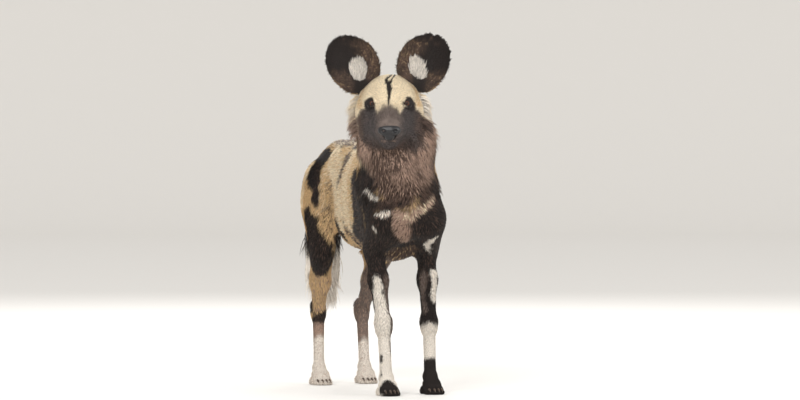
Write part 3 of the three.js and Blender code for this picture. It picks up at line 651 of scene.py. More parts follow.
def body_patches() -> list[Patch]:
    """The markings of neck, trunk, legs and tail, in the order they are painted.

    Returns:
        The markings.
    """
    t = Tone
    return [
        # neck and bib
        Patch(t.TAN, ((0, 70, 590), (-20, 80, 660)), (40, 30), 12, 12, t.BROWN, 0.4),
        Patch(t.BROWN, ((-30, -10, 660), (-20, -20, 590), (-14, -44, 520), (-36, -80, 470)),
              (92, 92, 76, 40), 9, 8, t.PINK, 0.5),
        Patch(t.PINK, ((-30, -70, 560), (-30, -80, 520)), (30, 22), 16, 10, t.BROWN, 0.7),
        Patch(t.PINK, (head_point(-56, 0, -118), head_point(-66, -6, -168)), (26, 24), 14, 12, t.BROWN, 0.45),
        Patch(t.PINK, (head_point(72, 10, -118), head_point(80, 0, -160)), (22, 20), 14, 12, t.BROWN, 0.45),
        Patch(t.BROWN, ((-60, -80, 462), (-46, -96, 446), (-26, -94, 458)), (14, 14, 12), 6, 5, t.BLACK, 0.5),
        Patch(t.BROWN, ((20, -84, 456), (56, -62, 462)), (34, 36), 8, 8, t.BLACK, 0.5),
        Patch(t.BLACK, ((-20, -50, 352), (30, -40, 342), (20, 20, 330)), (52, 52, 46), 8, 8, t.BROWN, 0.4),
        Patch(t.BROWN, ((-84, -60, 440), (-60, -84, 440)), (22, 22), 6, 6, t.BLACK, 0.5),
        # breast
        Patch(t.BLACK, ((-60, -60, 400), (-20, -60, 396), (46, -60, 402)), (48, 56, 50), 8, 8, t.BROWN, 0.3),
        Patch(t.BLACK, ((44, -60, 486), (60, -40, 440)), (32, 40), 8, 8, t.BROWN, 0.4),
        Patch(t.PINK, ((-46, -98, 426), (-40, -98, 400), (-30, -88, 374), (-12, -60, 352)),
              (11, 17, 17, 12), 5, 7, t.BROWN, 0.35),
        Patch(t.PINK, ((-50, -99, 422), (-28, -106, 414), (-4, -106, 427), (20, -98, 445), (36, -72, 470)),
              (7, 12, 12, 9, 6), 5, 9, t.CREAM, 0.5),
        Patch(t.BLACK, ((-61, -75, 383), (-53, -90, 381)), (7, 6), 4, 4),
        Patch(t.BLACK, ((-70, -48, 372), (-44, -66, 350), (-24, -10, 330)), (9, 9, 12), 5, 6, t.BROWN, 0.3),
        # left shoulder and foreleg
        Patch(t.BLACK, ((60, -40, 440), (62, 0, 360), (66, 30, 300)), (48, 46, 36), 7, 8, t.BROWN, 0.3),
        Patch(t.TAN, ((84, 4, 530), (94, -12, 468), (92, -28, 410)), (22, 15, 9), 6, 8, t.BROWN, 0.35),
        Patch(t.WHITE, ((54, -66, 368), (46, -62, 358), (41, -30, 346), (54, -14, 334), (62, 0, 326)),
              (4, 7, 7, 6, 4), 3, 4),
        Patch(t.GREY, ((48, 14, 296), (44, 22, 250), (50, 16, 196)), (9, 11, 8), 5, 4, t.BROWN, 0.4),
        Patch(t.WHITE, ((80, 18, 280), (80, 16, 226)), (13, 12), 3, 4),
        Patch(t.BLACK, ((88, 22, 274), (86, 24, 262)), (5, 4), 2, 2),
        Patch(t.BLACK, ((84, 16, 242), (84, 18, 234)), (5, 4), 2, 2),
        Patch(t.BLACK, ((66, 10, 222), (60, 2, 158)), (9, 8), 4, 4),
        Patch(t.WHITE, ((66, 20, 146), (64, 12, 96)), (26, 26), 4, 5),
        Patch(t.BLACK, ((62, 8, 62), (65, -16, 4)), (24, 62), 4, 6),
        # right shoulder
        Patch(t.BLACK, ((-74, 20, 500), (-78, -20, 430), (-66, 0, 350), (-60, 30, 290)),
              (54, 54, 46, 34), 7, 8, t.BROWN, 0.3),
        Patch(t.WHITE, ((-95, 27, 492), (-94, -20, 476), (-88, -61, 459)), (5, 9, 7), 3, 4),
        Patch(t.WHITE, ((-92, -75, 418), (-79, -85, 420), (-66, -92, 427)), (4, 6, 5), 3, 4, t.PINK, 0.4),
        Patch(t.WHITE, ((-82, -42, 350), (-76, -40, 344)), (8, 5), 3, 4),
        Patch(t.WHITE, ((-90, -60, 392), (-88, -58, 384)), (5, 4), 2, 2),
        # right foreleg
        Patch(t.WHITE, ((-76, 0, 288), (-70, -6, 250), (-64, -14, 196), (-62, -20, 128), (-56, -30, 40)),
              (4, 15, 21, 24, 50), 3, 5),
        Patch(t.BLACK, ((-55, -10, 243), (-54, -10, 238)), (6, 5), 2, 3),
        Patch(t.GREY, ((-38, 8, 268), (-36, -4, 200), (-34, -12, 150), (-34, -20, 100)),
              (14, 14, 13, 9), 4, 4, t.BROWN, 0.6),
        Patch(t.BLACK, ((-66, -28, 92), (-67, -27, 84)), (6, 5), 2, 3),
        Patch(t.BLACK, ((-68, -26, 58), (-68, -28, 50)), (5, 5), 2, 3),
        Patch(t.BLACK, ((-60, -58, 22), (-46, -60, 14)), (21, 21), 4, 6),
        # right flank
        Patch(t.TAN, ((-74, 170, 480), (-70, 370, 480)), (84, 80), 10, 12, t.CREAM, 0.4),
        Patch(t.CREAM, ((-50, 400, 560), (-68, 330, 510), (-74, 290, 455), (-70, 270, 400)),
              (26, 34, 38, 32), 7, 9, t.TAN, 0.5),
        Patch(t.CREAM, ((-50, 250, 556), (-76, 220, 510), (-84, 200, 450), (-80, 200, 390)),
              (26, 38, 46, 40), 10, 12, t.TAN, 0.6),
        Patch(t.BROWN, ((-44, 290, 556), (-61, 262, 530), (-69, 276, 502), (-71, 300, 480)),
              (11, 13, 10, 5), 7, 12, t.GREY, 0.6),
        Patch(t.BLACK, ((-84, 96, 500), (-88, 84, 430), (-80, 80, 360)), (36, 44, 44), 7, 12, t.BROWN, 0.35),
        Patch(t.BROWN, ((-72, 240, 372), (-70, 150, 340)), (14, 20), 8, 10, t.TAN, 0.5),
        Patch(t.GREY, ((-6, 460, 582), (-14, 390, 582), (-24, 300, 572)),
              (24, 24, 16), 10, 12, t.CREAM, 0.65),
        # right haunch and hind leg
        Patch(t.TAN, ((-66, 380, 470), (-74, 376, 420), (-70, 366, 380)), (26, 22, 14), 8, 9, t.BROWN, 0.5),
        Patch(t.BLACK, ((-64, 470, 534), (-78, 452, 500), (-87, 446, 465), (-84, 430, 440)),
              (9, 13, 18, 14), 5, 8, t.BROWN, 0.4),
        Patch(t.CREAM, ((-78, 512, 530), (-96, 520, 480), (-101, 516, 430)), (20, 20, 15), 5, 6, t.TAN, 0.4),
        Patch(t.BLACK, ((-104, 462, 408), (-104, 420, 372), (-95, 390, 330), (-90, 404, 296), (-84, 410, 274),
               ), (22, 34, 36, 34, 24), 6, 9, t.BROWN, 0.35),
        Patch(t.TAN, ((-82, 393, 412), (-82, 378, 386), (-72, 364, 370)), (8, 8, 7), 5, 6, t.BROWN, 0.4),
        Patch(t.TAN, ((-74, 430, 244), (-60, 490, 190)), (30, 27), 5, 6, t.PINK, 0.5),
        Patch(t.BLACK, ((-56, 515, 162), (-58, 505, 142)), (20, 22), 4, 6, t.BROWN, 0.5),
        Patch(t.PINK, ((-60, 500, 124), (-62, 490, 100)), (26, 24), 6, 6, t.GREY, 0.4),
        Patch(t.WHITE, ((-62, 488, 92), (-66, 466, 10)), (26, 62), 8, 5, t.PINK, 0.35),
        # left flank and haunch
        Patch(t.BLACK, ((84, 90, 520), (92, 150, 430), (70, 120, 360)), (30, 38, 30), 7, 12, t.BROWN, 0.2),
        Patch(t.WHITE, ((84, 190, 500), (88, 230, 440)), (16, 20), 5, 10),
        Patch(t.BLACK, ((74, 290, 520), (78, 320, 450)), (26, 22), 6, 12, t.TAN, 0.2),
        Patch(t.CREAM, ((74, 380, 520), (70, 370, 430)), (18, 20), 6, 10, t.TAN, 0.3),
        Patch(t.BLACK, ((88, 470, 500), (96, 480, 420), (92, 440, 330)), (24, 34, 34), 6, 12, t.TAN, 0.2),
        Patch(t.WHITE, ((98, 520, 470), (92, 540, 420)), (13, 10), 4, 8),
        Patch(t.GREY, ((80, 440, 280), (62, 540, 190)), (40, 34), 6, 8, t.PINK, 0.35),
        Patch(t.GREY, ((62, 550, 170), (58, 520, 110)), (30, 26), 5, 6, t.PINK, 0.5),
        Patch(t.BLACK, ((46, 520, 106), (47, 516, 96)), (8, 7), 4, 3),
        Patch(t.WHITE, ((58, 514, 84), (57, 496, 10)), (27, 62), 8, 5, t.PINK, 0.35),
        # belly, rump and tail
        Patch(t.BROWN, ((0, 10, 318), (0, 200, 330), (0, 360, 376)), (40, 34, 28), 9, 10, t.TAN, 0.2),
        Patch(t.TAN, ((-6, 600, 500), (-8, 650, 440)), (34, 30), 8, 8, t.BROWN, 0.3),
        Patch(t.BLACK, ((-8, 650, 418), (-8, 652, 366)), (34, 34), 6, 8),
        Patch(t.WHITE, ((-8, 652, 330), (-8, 652, 150)), (60, 90), 6, 8),
    ]


@dataclass
class Markings:
    """The colours of the coat at any place on the animal."""

    body: list[Patch] = field(default_factory=body_patches)
    head: list[Patch] = field(default_factory=head_patches)
    eyes: list[Patch] = field(default_factory=list)
    face: DarkFace = DarkFace()

    def trunk_ground(self, points: Array) -> Array:
        """What lies under the named markings: tan, broken by black and cream clouds, darker on the spine.

        Args:
            points: places on the coat.

        Returns:
            Linear colours.
        """
        blotch = noise(points, 62, 3) + 0.5 * noise(points, 27, 4)
        colour = np.tile(np.array(Tone.TAN.value, np.float32), (len(points), 1))
        colour = self.over(colour, Tone.CREAM, smooth_step(0.3, 0.5, noise(points, 80, 8)) * 0.8)
        colour = self.over(colour, Tone.BLACK, smooth_step(0.14, 0.3, blotch))
        foreleg = smooth_step(345, 325, points[:, 2]) * smooth_step(280, 240, points[:, 1])
        colour = self.over(colour, Tone.BLACK, foreleg)
        spine = smooth_step(566, 584, points[:, 2] + 10 * noise(points, 22, 9))
        return self.over(colour, Tone.BROWN, spine * smooth_step(-0.5, 0.3, noise(points, 9, 12)))

    @staticmethod
    def over(colour: Array, tone: Tone, mask: Array) -> Array:
        """Paints a tone over colours through a mask."""
        return colour + (np.array(tone.value, np.float32) - colour) * mask[:, None]

    def paint(self, points: Array, strand: Array | None = None) -> Array:
        """The colour at each place.

        Args:
            points: places on the coat.
            strand: a random number for each hair there, or None on the bare skin, which takes the mean.

        Returns:
            Linear colours.
        """
        if strand is not None:
            points = points + (strand[:, None] - 0.5) * np.array((3.0, 3.0, 5.0), np.float32)
        warp = np.c_[noise(points, 17, 21), noise(points, 17, 22), noise(points, 17, 23)] * 3.5
        at = (points + warp).astype(np.float32)
        ragged = 0.65 * noise(points, 15, 24) + 0.35 * noise(points, 6, 25)
        colour = self.trunk_ground(at)
        for patch in self.body:
            colour = self.put(colour, patch, at, ragged, strand)
        crown = into_head(at)
        head = smooth_step(-58, -42, crown[:, 2] + 0.25 * crown[:, 1] + 9 * ragged)
        colour = self.over(colour, Tone.CREAM, head * (crown[:, 1] < 140))
        for patch in self.head:
            colour = self.put(colour, patch, at, ragged, strand)
        colour = self.over(colour, Tone.BLACK, self.face.crown_stripe(at, ragged))
        dark, grey = self.face.masks(at, ragged)
        colour = self.over(colour, Tone.CHARCOAL, dark)
        local = into_head(at)
        cheek = smooth_step(48, 70, np.abs(local[:, 0]))
        cheek = np.maximum(cheek, smooth_step(-62, -98, local[:, 2]) * 0.75)
        cheek *= smooth_step(-70, -40, local[:, 1])
        colour = self.over(colour, Tone.BROWN, dark * cheek * 0.85)
        # the grey bridge of the nose: partly its fur, partly a painted highlight on the top of the muzzle
        colour = self.over(colour, Tone.GREY, dark * grey * 0.75)
        colour = colour * (1 + dark * 0.26 * noise(at, 9, 27))[:, None]
        if strand is not None:
            colour = colour * (1 + dark * (strand.astype(np.float32) - 0.5) * 0.7)[:, None]
        for patch in self.eyes:
            colour = self.put(colour, patch, at, ragged, strand)
        return colour

    def put(self, colour: Array, patch: Patch, at: Array, ragged: Array, strand: Array | None) -> Array:
        """Paints one marking.

        Args:
            colour: what is there already.
            patch: the marking.
            at: places.
            ragged: noise for its edge.
            strand: a random number for each hair, or None on the skin.

        Returns:
            The colours with it.
        """
        tone = np.tile(np.array(patch.tone.value, np.float32), (len(at), 1))
        if patch.grizzle:
            if strand is None:
                some = np.full(len(at), patch.grizzled * 0.75, np.float32)
            else:
                some = smooth_step(1 - patch.grizzled, 1.0, strand).astype(np.float32)
            tone = self.over(tone, patch.grizzle, some)
        return colour + (tone - colour) * patch.mask(at, ragged)[:, None]


# Materials

class Socket:
    """An output of a shader node, with arithmetic."""

    def __init__(self, shader: "Shader", link: bpy.types.NodeSocket) -> None:
        """Wraps one output."""
        self.shader = shader
        self.link = link

    def _math(self, operation: str, a: object, b: object) -> "Socket":
        """One sum of two values."""
        return self.shader.node("ShaderNodeMath", {"operation": operation}, {0: a, 1: b})

    def __add__(self, other: object) -> "Socket":
        """This plus the other."""
        return self._math("ADD", self, other)

    __radd__ = __add__

    def __mul__(self, other: object) -> "Socket":
        """This times the other."""
        return self._math("MULTIPLY", self, other)

    __rmul__ = __mul__

    def __sub__(self, other: object) -> "Socket":
        """This less the other."""
        return self._math("SUBTRACT", self, other)

    def __rsub__(self, other: object) -> "Socket":
        """The other less this."""
        return self._math("SUBTRACT", other, self)


class Shader:
    """One material and its nodes."""

    def __init__(self, name: str, **fixed: object) -> None:
        """Starts a material.

        Args:
            name: of the material.
            fixed: what is the same all over, set on the shader's own sockets; spaces written as _.
        """
        self.material = bpy.data.materials.new(name)
        self.material.use_nodes = True
        self.tree = self.material.node_tree
        self.surface = next(n for n in self.tree.nodes if n.type == "BSDF_PRINCIPLED")
        for key, value in fixed.items():
            self.surface.inputs[key.replace("_", " ")].default_value = value

    def node(self, kind: str, settings: dict, inputs: dict, output: int | str = 0) -> Socket:
        """Adds a node.

        Args:
            kind: the node's type.
            settings: its own settings; ramp holds a colour ramp's stops.
            inputs: values or sockets by name or number.
            output: which output is wanted.

        Returns:
            That output.
        """
        made = self.tree.nodes.new(kind)
        for key, value in settings.items():
            if key == "ramp":
                while len(made.color_ramp.elements) < len(value):
                    made.color_ramp.elements.new(0.5)
                for element, (place, colour) in zip(made.color_ramp.elements, value):
                    element.position = place
                    element.color = (*colour, 1) if len(colour) == 3 else colour
            else:
                setattr(made, key, value)
        for key, value in inputs.items():
            if isinstance(value, Socket):
                self.tree.links.new(value.link, made.inputs[key])
            else:
                made.inputs[key].default_value = value
        return Socket(self, made.outputs[output])

    def feed(self, name: str, value: Socket) -> None:
        """Links a value to one of the shader's own inputs."""
        self.tree.links.new(value.link, self.surface.inputs[name])

    def place(self) -> Socket:
        """The place on the object."""
        return self.node("ShaderNodeTexCoord", {}, {}, "Object")

    def bump(self, height: Socket, strength: float, distance: float) -> None:
        """Roughens the surface."""
        out = self.node("ShaderNodeBump", {}, {"Height": height, "Strength": strength, "Distance": distance})
        self.feed("Normal", out)


@dataclass(frozen=True)
class FurFinish:
    """Matt hair, coloured by the coat attribute of the mesh."""

    name: str
    roughness: float = 0.72
    bump: float = 0.0

    def make(self) -> bpy.types.Material:
        """Builds the material.

        Returns:
            It, with its nodes.
        """
        shader = Shader(self.name, Roughness=self.roughness)
        shader.surface.inputs["Specular IOR Level"].default_value = 0.28
        colour = shader.node("ShaderNodeAttribute", {"attribute_name": "coat"}, {}, "Color")
        shader.feed("Base Color", colour)
        if self.bump:
            grain = shader.node(
                "ShaderNodeTexNoise", {}, {"Vector": shader.place(), "Scale": 420.0, "Detail": 3.0}
            )
            shader.bump(grain, self.bump, 0.0012)
        return shader.material


@dataclass(frozen=True)
class EyeFinish:
    """A dark amber iris round a black pupil, under a wet cornea, laid out on the ball's front map."""

    pupil: float = 0.19
    iris: float = 0.52

    def make(self) -> bpy.types.Material:
        """Builds the material.

        Returns:
            It, with its nodes.
        """
        shader = Shader("eye", Roughness=0.45, Specular_IOR_Level=0.2, Coat_Weight=0.22, Coat_Roughness=0.03)
        uv = shader.node("ShaderNodeUVMap", {"uv_map": "front"}, {})
        out = shader.node("ShaderNodeVectorMath", {"operation": "SUBTRACT"}, {0: uv, 1: (0.5, 0.5, 0.0)})
        away = shader.node("ShaderNodeVectorMath", {"operation": "LENGTH"}, {0: out}, "Value") * 2
        p, i = self.pupil, self.iris
        rings = [
            (0.0, (0.002, 0.001, 0.001)), (p, (0.003, 0.002, 0.001)), (p + 0.03, (0.045, 0.011, 0.003)),
            (i - 0.1, (0.085, 0.022, 0.006)), (i, (0.012, 0.005, 0.003)), (i + 0.04, (0.012, 0.007, 0.006)),
            (0.8, (0.02, 0.012, 0.010)),
        ]
        ramp = shader.node("ShaderNodeValToRGB", {"ramp": rings}, {"Fac": away}, "Color")
        rays = shader.node("ShaderNodeTexNoise", {}, {"Vector": out, "Scale": 46.0, "Detail": 2.0})
        dark = shader.node(
            "ShaderNodeMix", {"data_type": "RGBA", "blend_type": "MULTIPLY"},
            {0: 0.5, 6: ramp, 7: (0.6, 0.6, 0.6, 1.0)}, 2,
        )
        mixed = shader.node("ShaderNodeMix", {"data_type": "RGBA"}, {0: rays, 6: dark, 7: ramp}, 2)
        shader.feed("Base Color", mixed)
        return shader.material


@dataclass(frozen=True)
class HornFinish:
    """Smooth or pebbled bare parts: the nose and the claws."""

    name: str
    colour: tuple[float, float, float]
    light: tuple[float, float, float]
    roughness: float
    grain: float
    bump: float

    def make(self) -> bpy.types.Material:
        """Builds the material.

        Returns:
            It, with its nodes.
        """
        shader = Shader(self.name, Roughness=self.roughness)
        place = shader.place()
        cells = shader.node(
            "ShaderNodeTexVoronoi", {"feature": "DISTANCE_TO_EDGE"}, {"Vector": place, "Scale": self.grain}
        )
        cloud = shader.node("ShaderNodeTexNoise", {}, {"Vector": place, "Scale": 90.0, "Detail": 3.0})
        colour = shader.node(
            "ShaderNodeMix", {"data_type": "RGBA"},
            {0: cloud * 0.6, 6: (*self.colour, 1.0), 7: (*self.light, 1.0)}, 2,
        )
        shader.feed("Base Color", colour)
        shader.bump(cells, self.bump, 0.0006)
        return shader.material


# Meshes

def to_frame(points: Array) -> Array:
    """Millimetres of the dog's axes as metres of the frame."""
    return (points + ORIGIN) * MM


def to_dog(points: Array) -> Array:
    """Metres of the frame as millimetres of the dog's axes."""
    return points / MM - ORIGIN


def rows(items: bpy.types.bpy_prop_collection, name: str, width: int, kind: type = np.float32) -> Array:
    """Reads one value of every item of a mesh.

    Args:
        items: its points, corners or triangles.
        name: of the value.
        width: how many numbers it has.
        kind: of number.

    Returns:
        A row for each item.
    """
    flat = np.empty(len(items) * width, kind)
    items.foreach_get(name, flat)
    return flat.reshape(-1, width)


def read_points(mesh: bpy.types.Mesh) -> Array:
    """The mesh's points, in the dog's millimetres."""
    return to_dog(rows(mesh.vertices, "co", 3)).astype(np.float32)


def facing_back(mesh: bpy.types.Mesh) -> Array:
    """How much the mesh faces the back of the head at each point, -1 to 1."""
    return into_head(rows(mesh.vertex_normals, "vector", 3) + np.array(EYE_LINE))[:, 1]


def write_points(mesh: bpy.types.Mesh, points: Array) -> None:
    """Moves the mesh's points, given in the dog's millimetres."""
    mesh.vertices.foreach_set("co", to_frame(points).astype(np.float32).ravel())
    mesh.update()


def put_colours(mesh: bpy.types.Mesh, colours: Array) -> None:
    """Stores the coat's colours on the mesh's points."""
    layer = mesh.attributes.new("coat", "FLOAT_COLOR", "POINT")
    layer.data.foreach_set("color", np.c_[colours, np.ones(len(colours))].astype(np.float32).ravel())


def finished(name: str, mesh: bpy.types.Mesh, material: bpy.types.Material) -> bpy.types.Object:
    """Links a mesh as a smooth piece that rides with the dog.

    Args:
        name: of the piece.
        mesh: in the frame's metres.
        material: it is given.

    Returns:
        The piece.
    """
    piece = bpy.data.objects.new(name, mesh)
    bpy.context.scene.collection.objects.link(piece)
    mesh.materials.clear()
    mesh.materials.append(material)
    mesh.polygons.foreach_set("use_smooth", np.ones(len(mesh.polygons), bool))
    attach(piece, "root")
    LOG.info("%s: %d faces", name, len(mesh.polygons))
    return piece


def add_cone(work: bmesh.types.BMesh, cone: Cone) -> None:
    """Adds a rounded cone to a mesh in the frame's metres.

    Args:
        work: the mesh.
        cone: in the dog's millimetres.
    """
    a, b = (Vector(to_frame(np.array([p]))[0]) for p in (cone.a, cone.b))
    turn = (b - a).to_track_quat("Z", "Y").to_matrix().to_4x4()
    bmesh.ops.create_cone(
        work, cap_ends=True, segments=20, radius1=cone.ra * MM, radius2=cone.rb * MM, depth=(b - a).length,
        matrix=Matrix.Translation((a + b) / 2) @ turn,
    )
    for end, radius in ((a, cone.ra), (b, cone.rb)):
        bmesh.ops.create_uvsphere(
            work, u_segments=20, v_segments=12, radius=radius * MM, matrix=Matrix.Translation(end)
        )


def wrapped(
    name: str, nodes: list[str], voxel: float, smoothing: int, extra: tuple[Cone, ...] = ()
) -> bpy.types.Mesh:
    """One even closed mesh round copies of some of the solids.

    Args:
        name: of the mesh.
        nodes: the solids.
        voxel: its grain, in millimetres.
        smoothing: passes that melt facets away.
        extra: rounded cones wrapped in with them.

    Returns:
        The mesh, in the frame's metres.
    """
    joined = bmesh.new()
    for node in nodes:
        joined.from_mesh(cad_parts[node].data)
    bmesh.ops.remove_doubles(joined, verts=joined.verts, dist=1e-6)
    for cone in extra:
        add_cone(joined, cone)
    rough = bpy.data.meshes.new(name)
    joined.to_mesh(rough)
    joined.free()
    holder = bpy.data.objects.new(name, rough)
    bpy.context.scene.collection.objects.link(holder)
    remesh = holder.modifiers.new("wrap", "REMESH")
    remesh.mode = "VOXEL"
    remesh.voxel_size = voxel * MM
    mesh = bpy.data.meshes.new_from_object(holder.evaluated_get(bpy.context.evaluated_depsgraph_get()))
    bpy.data.objects.remove(holder)
    smooth(mesh, smoothing)
    return mesh


def smooth(mesh: bpy.types.Mesh, passes: int, factor: float = 0.5) -> None:
    """Evens a mesh out a few times.

    Args:
        mesh: it is changed in place.
        passes: how often.
        factor: how far each pass moves a point.
    """
    work = bmesh.new()
    work.from_mesh(mesh)
    for _ in range(passes):
        bmesh.ops.smooth_vert(
            work, verts=work.verts, factor=factor, use_axis_x=True, use_axis_y=True, use_axis_z=True
        )
    work.to_mesh(mesh)
    work.free()


FLESH_NODES = ["head", "neck", "torso", "tail_base"] + [
    f"{part}_{side}"
    for side in SIDES
    for part in ("shoulder", "forearm", "forefoot", "thigh", "shank", "hindfoot")
]


@dataclass
class Skin:
    """The bare body: one seamless surface under the coat."""

    flesh: Flesh
    markings: Markings
    voxel: float = 5.0
    under: float = 0.28  # how deep the skin lies under the coat's outside, as a share of the fur's length
    painted_shade: float = 0.62  # painted shade: the skin takes the coat's colours, darkened as the shade that lies under the fur
    probe: float = 0.4  # how far apart the skin's distance is read to find its slope
    stride: float = 7.0  # the most a point moves in one step
    mesh: bpy.types.Mesh | None = None

    def refine(self, mesh: bpy.types.Mesh) -> None:
        """Splits the faces of the head, twice on the face itself, and those of the feet.

        Args:
            mesh: it is changed in place.
        """
        work = bmesh.new()
        work.from_mesh(mesh)
        for level in range(2):
            middles = np.array([f.calc_center_median() for f in work.faces], np.float32)
            at = to_dog(middles)
            local = into_head(at)
            if level == 0:
                chosen = (local[:, 2] > -125) & (local[:, 1] < 75) & (at[:, 2] > 560)
                chosen |= at[:, 2] < 52
            else:
                chosen = (local[:, 1] < 0) & (local[:, 2] > -106) & (local[:, 2] < 24) & (at[:, 2] > 560)
            work.faces.ensure_lookup_table()
            edges = {e for i in np.flatnonzero(chosen) for e in work.faces[i].edges}
            bmesh.ops.subdivide_edges(work, edges=list(edges), cuts=1, use_grid_fill=True)
        bmesh.ops.triangulate(work, faces=[f for f in work.faces if len(f.verts) > 4])
        work.to_mesh(mesh)
        work.free()

    def depth(self, points: Array, length: Array) -> Array:
        """How far below the coat's outside the skin lies.

        Args:
            points: places on the coat's outside.
            length: of the fur there.

        Returns:
            Millimetres for each.
        """
        depth = self.under * length
        depth *= smooth_step(2, 14, self.ear_gap(points)) * 0.98 + 0.02
        depth *= smooth_step(14, 40, away(points, head_point(0, -96, -62))) * 0.9 + 0.1
        return depth * (0.35 + 0.65 * smooth_step(30, 90, points[:, 2]))

    def ear_gap(self, points: Array) -> Array:
        """Distance to the nearest ear.

        Args:
            points: places.

        Returns:
            Millimetres for each, CLEAR where it is far.
        """
        gap = np.full(len(points), CLEAR, np.float32)
        near = np.flatnonzero(points[:, 2] > 670)
        for side in SIDES:
            ear = to_dog(np.array([v.co[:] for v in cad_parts[f"ear_{side}"].data.vertices]))
            low = ear[ear[:, 2] < 770]
            tree = KDTree(len(low))
            for i, p in enumerate(low):
                tree.insert(p, i)
            tree.balance()
            gap[near] = np.minimum(gap[near], [tree.find(p)[2] for p in points[near]])
        return gap

    def settle(self, points: Array, depth: Array, times: int) -> Array:
        """Draws points on to the skin, a step at a time down the slope of its distance.

        Args:
            points: they are near the skin.
            depth: of the skin under the coat's outside.
            times: steps.

        Returns:
            The points, moved.
        """
        for _ in range(times):
            here = self.below(points, depth)
            steps = np.eye(3, dtype=np.float32) * self.probe
            slope = np.stack([self.below(points + step, depth) - here for step in steps], axis=1) / self.probe
            steep = np.maximum((slope * slope).sum(1), 0.25)
            points = points - np.clip(here / steep, -self.stride, self.stride)[:, None] * slope
        return points

    def below(self, points: Array, depth: Array) -> Array:
        """Distance to the skin, with its face carved and its soles flat.

        Args:
            points: places.
            depth: of the skin under the coat's outside.

        Returns:
            Distances, below 0 inside.
        """
        d = self.flesh.surface(points) + depth
        d = self.flesh.carve_face(points, d)
        return np.maximum(d, -points[:, 2])

    def build(self) -> bpy.types.Object:
        """Wraps, shapes, unwraps and colours the skin.

        Returns:
            The piece.
        """
        mesh = wrapped("skin", FLESH_NODES, self.voxel, 3, tuple(self.flesh.tail))
        self.refine(mesh)
        points = read_points(mesh)
        depth = self.depth(points, self.flesh.lie(points)[1])
        write_points(mesh, self.settle(points, depth, 3))
        smooth(mesh, 2)
        points = self.settle(read_points(mesh), depth, 3)
        write_points(mesh, points)
        # painted shade: the skin carries the coat's colours, darkened as the shade under the fur
        put_colours(mesh, self.markings.paint(points) * self.painted_shade)
        self.mesh = mesh
        piece = finished("skin", mesh, FurFinish("skin_under_fur", 0.8, 0.5).make())
        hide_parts(*FLESH_NODES)
        unwrap(piece)
        return piece


def unwrap(piece: bpy.types.Object) -> None:
    """Lays the piece's own faces out flat on the map that the coat is placed by.

    Args:
        piece: it gets the map OFBake.
    """
    piece.data.uv_layers.new(name="OFBake")
    bpy.context.view_layer.objects.active = piece
    piece.select_set(True)
    bpy.ops.object.mode_set(mode="EDIT")
    bpy.ops.mesh.select_all(action="SELECT")
    bpy.ops.uv.smart_project(angle_limit=math.radians(66), island_margin=0.001)
    bpy.ops.object.mode_set(mode="OBJECT")
    piece.select_set(False)


@dataclass
class Turf:
    """Places on a skin where tufts grow."""

    points: Array
    normals: Array
    uv: Array

    @staticmethod
    def sow(mesh: bpy.types.Mesh, density: Array, count: int, rng: np.random.Generator) -> "Turf":
        """Scatters places evenly over a mesh.

        Args:
            mesh: with its OFBake map.
            density: wanted at each of the mesh's points, relative.
            count: how many places.
            rng: the random numbers.

        Returns:
            The places.
        """
        mesh.calc_loop_triangles()
        corners = rows(mesh.loop_triangles, "vertices", 3, np.int32)
        loops = rows(mesh.loop_triangles, "loops", 3, np.int32)
        points = read_points(mesh)
        normals = rows(mesh.vertex_normals, "vector", 3)
        uv = rows(mesh.uv_layers["OFBake"].data, "uv", 2)
        p = points[corners]
        area = np.linalg.norm(np.cross(p[:, 1] - p[:, 0], p[:, 2] - p[:, 0]), axis=1) / 2
        load = np.cumsum(area * density[corners].mean(1))
        picks = (np.arange(count) + rng.random(count)) / count * load[-1]
        tri = np.minimum(np.searchsorted(load, picks), len(corners) - 1)
        u, v = rng.random(count), rng.random(count)
        u, v = np.where(u + v > 1, 1 - u, u), np.where(u + v > 1, 1 - v, v)
        share = np.stack([1 - u - v, u, v], axis=1)[:, :, None].astype(np.float32)
        normal = unit((normals[corners[tri]] * share).sum(1))
        return Turf((points[corners[tri]] * share).sum(1), normal, (uv[loops[tri]] * share).sum(1))


